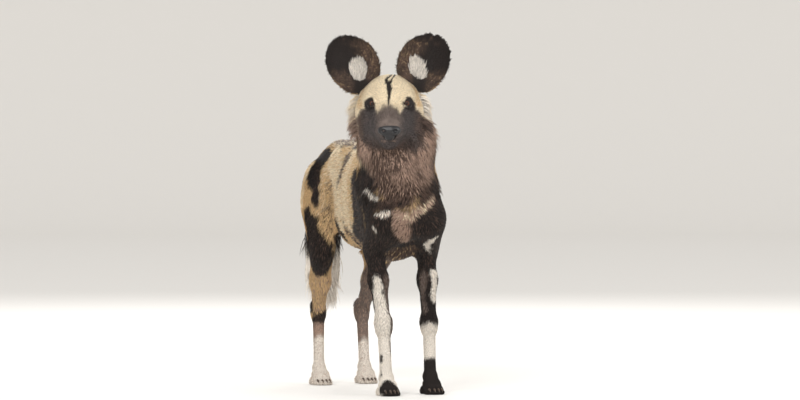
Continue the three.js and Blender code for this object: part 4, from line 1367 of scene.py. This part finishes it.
@dataclass
class Tufts:
    """Many closed tapering tufts, each a few three-sided rings and a point."""

    turf: Turf
    direction: Array
    length: Array
    width: Array
    colour: Array
    lift: tuple[float, ...] = (34, 12)  # degrees off the skin of each stretch, from the root up
    hang: float = 0.0  # how far the tips sink towards the floor, as a share of the length
    patch: float = 0.0028  # how wide a tuft is on the map
    painted_root_shade: tuple[float, float] = (0.7, 0.38)  # painted shade: how light a tuft's root is, darkened as if the hair above shades it, and what the tip gains
    clear: float = 0.3  # how far it stays off the floor

    def shape(self, rng: np.random.Generator) -> tuple[Array, Array]:
        """The tufts' points and the share of each tuft's length at them.

        Args:
            rng: the random numbers.

        Returns:
            Points for each tuft, and their share of its length.
        """
        n, steps = len(self.length), len(self.lift)
        rise = (self.direction * self.turf.normals).sum(1, keepdims=True)
        flow = unit(self.direction - self.turf.normals * rise)
        across = np.cross(self.turf.normals, flow)
        swing = rng.normal(0, 0.16, n)[:, None] + 0.22 * noise(self.turf.points, 14, 31)[:, None]
        flow = flow * np.cos(swing) + across * np.sin(swing)
        across = np.cross(self.turf.normals, flow)
        spot = self.turf.points - self.turf.normals * 1.0
        rings, shares = [], []
        for k in range(steps + 1):
            share = k / steps
            up = math.radians(self.lift[min(k, steps - 1)])
            ahead = flow * math.cos(up) + self.turf.normals * math.sin(up)
            if k == steps:
                rings.append(spot[:, None])
                shares.append(share)
                break
            half = (self.width * (1.0 if k == 0 else 1.05 - 0.62 * share) / 2)[:, None]
            over = np.cross(ahead, across)
            ring = [spot - across * half, spot + across * half, spot - over * half * 0.7]
            rings.append(np.stack(ring, axis=1))
            shares += [share] * 3
            spot = spot + ahead * (self.length / steps)[:, None]
            spot[:, 2] -= self.hang * self.length * (share + 1 / steps) ** 2 / steps
        return np.concatenate(rings, axis=1), np.array(shares, np.float32)

    def build(self, name: str, material: bpy.types.Material, rng: np.random.Generator) -> bpy.types.Object:
        """Makes one piece of all these tufts.

        Args:
            name: of the piece.
            material: of its hair.
            rng: the random numbers.

        Returns:
            The piece.
        """
        points, shares = self.shape(rng)
        n, per = points.shape[:2]
        points[:, :, 2] = np.maximum(points[:, :, 2], self.clear)
        faces = [(0, 1, 2)]
        for ring in range(len(self.lift) - 1):
            for k in range(3):
                a, b = ring * 3 + k, ring * 3 + (k + 1) % 3
                faces += [(a, a + 3, b), (b, a + 3, b + 3)]
        last = (len(self.lift) - 1) * 3
        faces += [(last + k, per - 1, last + (k + 1) % 3) for k in range(3)]
        faces = np.array(faces, np.int32)
        index = (np.arange(n, dtype=np.int32)[:, None, None] * per + faces[None]).reshape(-1, 3)
        mesh = bpy.data.meshes.new(name)
        mesh.vertices.add(n * per)
        mesh.vertices.foreach_set("co", to_frame(points.reshape(-1, 3)).astype(np.float32).ravel())
        mesh.loops.add(index.size)
        mesh.loops.foreach_set("vertex_index", index.ravel())
        mesh.polygons.add(len(index))
        mesh.polygons.foreach_set("loop_start", np.arange(0, index.size, 3, dtype=np.int32))
        mesh.update(calc_edges=True)
        # painted shade: each tuft is darker at its root, where the hair above would shade it, and lighter
        # towards its tip
        painted_shade = self.painted_root_shade[0] + self.painted_root_shade[1] * shares[None, :, None]
        put_colours(mesh, (self.colour[:, None, :] * painted_shade).reshape(-1, 3))
        spread = np.stack([np.cos(np.arange(per) * 2.1), np.sin(np.arange(per) * 2.1)], axis=1)
        spread *= (self.patch / 2) * (0.35 + 0.65 * shares[:, None])
        uv = np.clip(self.turf.uv[:, None, :] + spread[None], 0.0001, 0.9999)
        layer = mesh.uv_layers.new(name="OFBake")
        layer.data.foreach_set("uv", uv.reshape(-1, 2)[index.ravel()].astype(np.float32).ravel())
        mesh.validate()
        return finished(name, mesh, material)

    def part(self, chosen: Array) -> "Tufts":
        """Only the chosen tufts.

        Args:
            chosen: their numbers.

        Returns:
            Those.
        """
        turf = Turf(self.turf.points[chosen], self.turf.normals[chosen], self.turf.uv[chosen])
        return Tufts(
            turf, self.direction[chosen], self.length[chosen], self.width[chosen], self.colour[chosen],
            self.lift, self.hang, self.patch,
        )


@dataclass
class Coat:
    """The short fur over the whole skin, and the longer hair of ruff and tail."""

    skin: Skin
    total: int = 118000
    ruff: int = 3600
    brush: int = 2800
    piece: int = 19000  # tufts in one piece
    usual: float = 14.0  # shorter fur than this stands closer, and longer fur farther apart
    thick: tuple[float, float] = (1.16, 0.137)  # a tuft's width, and what each millimetre of length adds
    rng: np.random.Generator = field(default_factory=lambda: np.random.default_rng(7))

    def short(self, material: bpy.types.Material) -> None:
        """Grows the short coat, in numbered pieces, its tufts sorted by the part of the body they lie on.

        Args:
            material: of the hair.
        """
        points = read_points(self.skin.mesh)
        length = self.skin.flesh.lie(points)[1]
        density = (self.usual / length) ** 1.05
        density *= 1 - 0.97 * self.bald(points)
        turf = Turf.sow(self.skin.mesh, density, self.total, self.rng)
        flow, length = self.skin.flesh.lie(turf.points)
        length = length * self.rng.uniform(0.8, 1.2, len(length))
        strand = self.rng.random(len(length))
        colour = self.skin.markings.paint(turf.points, strand)
        colour = colour * self.rng.uniform(0.84, 1.16, (len(length), 1))
        width = self.thick[0] + self.thick[1] * length
        tufts = Tufts(turf, flow, length, width.astype(np.float32), colour)
        order = np.argsort(self.region(turf.points), kind="stable")
        for number, start in enumerate(range(0, len(order), self.piece)):
            tufts.part(order[start:start + self.piece]).build(f"coat_{number + 1}", material, self.rng)

    @staticmethod
    def region(points: Array) -> Array:
        """A number for each part of the body, so that each piece of coat is one area.

        Args:
            points: places on the skin.

        Returns:
            A number for each.
        """
        legs = np.where(points[:, 1] < 250, 4, 6) + (points[:, 0] > 0)
        trunk = np.where(points[:, 1] < 230, 2, 3)
        place = np.where(points[:, 2] < 330, legs, trunk)
        place = np.where((points[:, 2] > 560) & (points[:, 1] < 110), 0, place)
        return np.where((place == 2) & (points[:, 1] < 20) & (points[:, 2] > 400), 1, place)

    def bald(self, points: Array) -> Array:
        """1 on lids, nose edge, lips and soles, where next to no fur grows.

        Args:
            points: places on the skin.

        Returns:
            A share for each.
        """
        bare = np.zeros(len(points), np.float32)
        for side in SIDES:
            bare = np.maximum(bare, 1 - smooth_step(15.5, 18.0, away(points, self.skin.flesh.eyes[side])))
        bare = np.maximum(bare, 1 - smooth_step(27, 31, away(points, head_point(0, -100, -63))))
        return np.maximum(bare, 1 - smooth_step(0.5, 2.5, points[:, 2]))

    def long_hair(self, material: bpy.types.Material) -> None:
        """Grows the ruff on cheeks and neck.

        Args:
            material: of the hair.
        """
        points = read_points(self.skin.mesh)
        local = into_head(points)
        cheek = np.zeros(len(points), np.float32)
        for s in SIDES.values():
            for place, size in ((head_point(70 * s, 42, -4), 26), (head_point(72 * s, 44, -44), 30)):
                cheek = np.maximum(cheek, 1 - smooth_step(size * 0.5, size * 1.2, away(points, place)))
        neck = (1 - smooth_step(40, 92, np.abs(points[:, 2] - 560))) * smooth_step(90, 40, points[:, 1])
        behind = 0.3 * np.maximum(local[:, 1] - 20, 0) + 0.2 * local[:, 1]
        neck *= smooth_step(-96, -112, local[:, 2] - behind)
        turf = Turf.sow(self.skin.mesh, cheek * 1.3 + neck * 0.5 + 1e-6, self.ruff, self.rng)
        flow, _ = self.skin.flesh.lie(turf.points)
        at = into_head(turf.points)
        side = np.sign(at[:, 0])
        out = np.array([head_point(1, 0, 0), head_point(0, 1, 0)]) - np.array(EYE_LINE)
        sweep = side[:, None] * out[0] * 0.5 + out[1] * 0.8
        cheeks = smooth_step(-84, -70, at[:, 2])[:, None]
        flow = flow * (1 - cheeks) + sweep * cheeks
        flow[:, 2] -= 0.45
        length = (30 + 14 * cheeks[:, 0]) * self.rng.uniform(0.7, 1.15, len(flow))
        colour = self.skin.markings.paint(turf.points, self.rng.random(len(flow)))
        colour = colour * self.rng.uniform(0.85, 1.15, (len(flow), 1))
        width = np.full(len(flow), 2.5, np.float32)
        tufts = Tufts(turf, flow, length, width, colour, lift=(38, 24, 12), hang=0.12)
        tufts.build("coat_ruff", material, self.rng)

    def tail_brush(self, material: bpy.types.Material) -> None:
        """Grows the white plume round the end of the tail.

        Args:
            material: of the hair.
        """
        points = read_points(self.skin.mesh)
        z = points[:, 2]
        tail = (points[:, 1] > 600).astype(np.float32) * smooth_step(418, 388, z)
        turf = Turf.sow(self.skin.mesh, tail * (1 + smooth_step(300, 262, z)) + NONE, self.brush, self.rng)
        count = len(turf.points)
        out = turf.points - np.array((-8, 651, 0))
        out[:, 2] = 0
        turf.normals = unit(out)
        flow = np.tile(np.array((0, 0, -1.0), np.float32), (count, 1))
        low = turf.points[:, 2]
        length = np.clip(low - 150, 40, 104) * self.rng.uniform(0.72, 1.02, count)
        strand = self.rng.random(count)
        mix = smooth_step(392, 362, low + 16 * (strand - 0.5))[:, None]
        colour = np.array(Tone.BLACK.value) * (1 - mix) + np.array(Tone.WHITE.value) * mix
        colour = colour * self.rng.uniform(0.86, 1.1, (count, 1))
        width = np.full(count, 3.0, np.float32)
        tufts = Tufts(turf, flow, length, width, colour, lift=(36, 30, 12, -6, -10), hang=0.1)
        piece = tufts.build("tail_brush_hair", material, self.rng)
        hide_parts("tail_brush")


@dataclass
class Ears:
    """The two round ears, their short fur and the long hair inside."""

    markings: Markings
    voxel: float = 1.7
    tufts: int = 6600
    inner: int = 1000
    pale: dict[str, Point] = field(default_factory=lambda: {"left": (64, 75, 0.4), "right": (72, 71, 0.0)})
    rng: np.random.Generator = field(default_factory=lambda: np.random.default_rng(19))

    def paint(self, points: Array, back: Array, side: int, strand: Array | None) -> Array:
        """The ear's own markings: dark, with tan along its inner edge and at its foot.

        Args:
            points: places on the ear.
            back: 1 on its outside, 0 inside the bowl.
            side: 1 for the left ear.
            strand: a random number for each hair, or None on the skin.

        Returns:
            Linear colours.
        """
        at = into_head(points)
        x, z = at[:, 0] * side, at[:, 2]
        ragged = noise(points, 12, 41) * 7 + noise(points, 5, 42) * 3
        colour = np.tile(np.array(Tone.BLACK.value, np.float32), (len(points), 1)) * 0.85
        some = np.full(len(points), 0.4, np.float32) if strand is None else strand.astype(np.float32)
        medial = smooth_step(16, -16, x - 62 - 0.35 * (z - 90) + ragged) * smooth_step(152, 128, z + ragged)
        foot = smooth_step(84, 46, z + ragged) * smooth_step(72, 96, x)
        flecks = smooth_step(0.25, 0.7, 0.5 + 0.5 * noise(points, 8, 43))
        brown = np.maximum(medial, foot) * (0.45 + 0.55 * flecks)
        colour = self.markings.over(colour, Tone.BROWN, brown * (1 - back))
        speck = brown * smooth_step(0.6, 0.92, some) * 0.6
        colour = self.markings.over(colour, Tone.TAN, speck * (1 - back))
        rim = smooth_step(134, 152, z + ragged) * smooth_step(0.2, 0.7, noise(points, 8, 44)) * (1 - back)
        colour = self.markings.over(colour, Tone.BROWN, rim * 0.7)
        tan = smooth_step(66, 40, z + ragged) * back
        return self.markings.over(colour, Tone.TAN, tan * 0.7)

    def build(self, side: str, material: bpy.types.Material) -> None:
        """Builds one ear and all its hair.

        Args:
            side: left or right.
            material: of the hair.
        """
        sign = SIDES[side]
        mesh = wrapped(f"ear_{side}_skin", [f"ear_{side}"], self.voxel, 6)
        points = read_points(mesh)
        back = smooth_step(-0.1, 0.3, facing_back(mesh))
        # painted shade: the ear's skin takes its markings, darkened as the shade under its fur
        put_colours(mesh, self.paint(points, back, sign, None) * 0.8)
        skin = finished(f"ear_{side}_skin", mesh, material)
        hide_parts(f"ear_{side}")
        unwrap(skin)
        turf = Turf.sow(mesh, np.ones(len(points)), self.tufts, self.rng)
        at = into_head(turf.points)
        middle = np.array((58.0 * sign, 0.0, 55.0))
        rise = at - middle
        flow = across_head(rise[:, 0], rise[:, 2])
        back = smooth_step(-0.1, 0.3, turf.normals[:, 0] * SIN + turf.normals[:, 1] * COS)
        strand = self.rng.random(self.tufts)
        colour = self.paint(turf.points, back, sign, strand) * self.rng.uniform(0.8, 1.25, (self.tufts, 1))
        length = self.rng.uniform(4.5, 8.0, self.tufts)
        width = np.full(self.tufts, 1.7, np.float32)
        Tufts(turf, flow, length, width, colour, lift=(22, 8)).build(f"coat_ear_{side}", material, self.rng)
        self.white_tuft(mesh, side, material)

    def white_tuft(self, mesh: bpy.types.Mesh, side: str, material: bpy.types.Material) -> None:
        """The long pale hair that fans out of the foot of the bowl.

        Args:
            mesh: the ear's skin.
            side: left or right.
            material: of the hair.
        """
        sign = SIDES[side]
        points = read_points(mesh)
        at = into_head(points)
        out, up, slant = self.pale[side]
        spot = np.hypot((at[:, 0] * sign - out + slant * (at[:, 2] - up)) / 17, (at[:, 2] - up) / 21)
        density = 1 - smooth_step(0.62, 1.15, spot + 0.16 * noise(points, 8, 46))
        density = density * (facing_back(mesh) < 0) + NONE
        turf = Turf.sow(mesh, density, self.inner, self.rng)
        local = into_head(turf.points)
        flow = across_head((local[:, 0] - out * sign) * 0.3 + 4 * sign, np.full(self.inner, 30.0))
        length = self.rng.uniform(8, 23, self.inner)
        colour = np.array(Tone.WHITE.value) * self.rng.uniform(0.58, 1.02, (self.inner, 1))
        width = np.full(self.inner, 1.8, np.float32)
        hair = Tufts(turf, flow, length, width, colour, lift=(24, 12, 6))
        hair.build(f"ear_{side}_hair", material, self.rng)


@dataclass
class Eyes:
    """The two eyeballs, each with its own map of the front."""

    radius: float = 12.3
    cornea: float = 0.8  # where the cornea starts, as a share of the radius
    bulge: float = 0.9

    def build(self, side: str, centre: Point, material: bpy.types.Material) -> None:
        """Makes one eyeball, its pole towards the camera.

        Args:
            side: left or right.
            centre: its middle.
            material: of the eye.
        """
        work = bmesh.new()
        bmesh.ops.create_uvsphere(work, u_segments=40, v_segments=24, radius=self.radius * MM)
        bmesh.ops.rotate(work, verts=work.verts, matrix=Matrix.Rotation(math.radians(90), 3, "X"))
        layer = work.loops.layers.uv.new("front")
        for face in work.faces:
            for loop in face.loops:
                x, y, z = (c / (self.radius * MM) for c in loop.vert.co)
                loop[layer].uv = (0.5 + x / 2, 0.5 + z / 2) if y < 0 else (0.5 + x / 2, 0.99)
        for vert in work.verts:
            x, y, z = (c / (self.radius * MM) for c in vert.co)
            if y < -self.cornea:
                vert.co.y -= self.bulge * MM * smooth_step(self.cornea, 1.0, np.array([-y]))[0]
        bmesh.ops.rotate(work, verts=work.verts, matrix=Matrix.Rotation(-HEAD_TURN, 3, "Z"))
        bmesh.ops.translate(work, verts=work.verts, vec=Vector(to_frame(np.array([centre]))[0]))
        mesh = bpy.data.meshes.new(f"eyeball_{side}")
        work.to_mesh(mesh)
        work.free()
        piece = finished(f"eyeball_{side}", mesh, material)
        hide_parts(f"eye_{side}")


@dataclass
class BareParts:
    """Nose and claws, wrapped finely over their solids."""

    nose_voxel: float = 0.8
    claw_voxel: float = 0.7
    broader: float = 0.34  # how much of its width the nose gains, as no fur hides its sides
    taller: float = 0.05

    def build(self) -> None:
        """Makes the nose and one piece for each foot's claws."""
        nose = HornFinish("nose", (0.004, 0.004, 0.005), (0.011, 0.010, 0.012), 0.38, 900.0, 0.35)
        pad = wrapped("nose_pad", ["nose"], self.nose_voxel, 4)
        points = read_points(pad)
        out = points - (points.min(0) + points.max(0)) / 2
        across = np.array((COS, -SIN, 0))
        points = points + (out @ across)[:, None] * across * self.broader
        write_points(pad, points + out * np.array((0, 0, self.taller)))
        piece = finished("nose_pad", pad, nose.make())
        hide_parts("nose")
        claw = HornFinish("claw", (0.03, 0.02, 0.015), (0.16, 0.10, 0.06), 0.4, 300.0, 0.15).make()
        for end in ("fore", "hind"):
            for side in SIDES:
                nodes = [f"claw_{end}_{side}_{i}" for i in range(1, 5)]
                name = f"claws_{end}_{side}"
                piece = finished(name, wrapped(name, nodes, self.claw_voxel, 3), claw)
                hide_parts(*nodes)


@dataclass
class Studio:
    """A pale floor in a low round wall, soft lights and the camera."""

    turn: float = math.radians(-17)
    rise: float = math.radians(1)
    distance: float = 12.0
    per_pixel: float = 2.3  # millimetres at the forefeet
    middle: tuple[float, float] = (-5, 448)  # what the picture's middle shows: pixels aside, height in mm
    lamps: tuple[tuple[str, Point, float, float], ...] = (
        ("key", (-4.2, -7.0, 4.2), 520, 3.0),
        ("fill", (5.0, -6.0, 2.6), 220, 3.6),
        ("rim", (1.2, 4.0, 3.4), 110, 2.4),
    )  # name, place in metres, watts and width of each
    daylight: float = 0.85

    def floor(self) -> None:
        """A wide round floor that curves up all round into a low wall, beyond any place the camera takes."""
        reach, bend = 15.0, 2.5
        work = bmesh.new()
        rim = work.verts.new((reach, 0, 0))
        bmesh.ops.spin(
            work, geom=[rim], cent=(reach, 0, bend), axis=(0, -1, 0), angle=math.radians(90), steps=12,
            use_merge=False,
        )
        middle = work.verts.new((0, 0, 0))
        work.edges.new((middle, rim))
        bmesh.ops.spin(
            work, geom=[*work.verts, *work.edges], cent=(0, 0, 0), axis=(0, 0, 1), angle=math.radians(360),
            steps=72, use_merge=True,
        )
        bmesh.ops.remove_doubles(work, verts=work.verts, dist=1e-4)
        bmesh.ops.recalc_face_normals(work, faces=work.faces)
        if sum(face.normal.z for face in work.faces) < 0:
            bmesh.ops.reverse_faces(work, faces=work.faces)
        mesh = bpy.data.meshes.new("floor")
        work.to_mesh(mesh)
        work.free()
        mesh.polygons.foreach_set("use_smooth", np.ones(len(mesh.polygons), bool))
        shader = Shader("floor", Roughness=0.9)
        shader.surface.inputs["Base Color"].default_value = (0.80, 0.78, 0.75, 1)
        floor = bpy.data.objects.new("floor", mesh)
        mesh.materials.append(shader.material)
        bpy.context.scene.collection.objects.link(floor)

    def light(self, name: str, place: Point, power: float, size: float) -> None:
        """One soft square light, aimed at the dog's chest.

        Args:
            name: of the lamp.
            place: in metres.
            power: in watts.
            size: its width in metres.
        """
        lamp = bpy.data.lights.new(name, "AREA")
        lamp.energy = power
        lamp.size = size
        holder = bpy.data.objects.new(name, lamp)
        holder.location = place
        aim = Vector((0, 0, 0.45)) - Vector(place)
        holder.rotation_euler = aim.to_track_quat("-Z", "Y").to_euler()
        bpy.context.scene.collection.objects.link(holder)

    def camera(self) -> None:
        """Stands the camera where the photograph was taken from."""
        level = math.cos(self.rise)
        back = np.array((math.sin(self.turn) * level, -math.cos(self.turn) * level, math.sin(self.rise)))
        right = np.array((math.cos(self.turn), math.sin(self.turn), 0))
        target = right * self.middle[0] * self.per_pixel + np.array((0, 0, self.middle[1]))
        lens = bpy.data.cameras.new("camera")
        lens.sensor_width = 36
        lens.lens = 36 * self.distance / (800 * self.per_pixel * MM)
        lens.clip_end = 200
        camera = bpy.data.objects.new("camera", lens)
        camera.location = to_frame(target[None])[0] + back * self.distance
        camera.rotation_euler = Vector(-back).to_track_quat("-Z", "Y").to_euler()
        bpy.context.scene.collection.objects.link(camera)
        bpy.context.scene.camera = camera

    def build(self) -> None:
        """Sets the whole studio."""
        self.floor()
        for lamp in self.lamps:
            self.light(*lamp)
        world = bpy.data.worlds.new("studio")
        world.use_nodes = True
        background = world.node_tree.nodes["Background"]
        background.inputs["Color"].default_value = (1.0, 0.985, 0.96, 1)
        background.inputs["Strength"].default_value = self.daylight
        bpy.context.scene.world = world
        bpy.context.scene.view_settings.view_transform = "Standard"
        self.camera()


def eye_centres() -> dict[str, Point]:
    """The middles of the eyeballs, read off their solids.

    Returns:
        A place for each side.
    """
    centres = {}
    for side in SIDES:
        low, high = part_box(f"eye_{side}")
        centres[side] = tuple(to_dog((np.array(low) + np.array(high))[None] / 2)[0])
    return centres


def main() -> None:
    """Builds the dog from the skin outwards, then the studio."""
    flesh = Flesh(eye_centres())
    markings = Markings(eyes=eye_patches(flesh.eyes))
    skin = Skin(flesh, markings)
    skin.build()
    fur = FurFinish("fur").make()
    coat = Coat(skin)
    coat.short(fur)
    coat.long_hair(fur)
    coat.tail_brush(fur)
    ears = Ears(markings)
    eye = EyeFinish().make()
    eyes = Eyes()
    for side in SIDES:
        ears.build(side, fur)
        eyes.build(side, flesh.eyes[side], eye)
    BareParts().build()
    Studio().build()


if __name__ == "__main__":
    main()
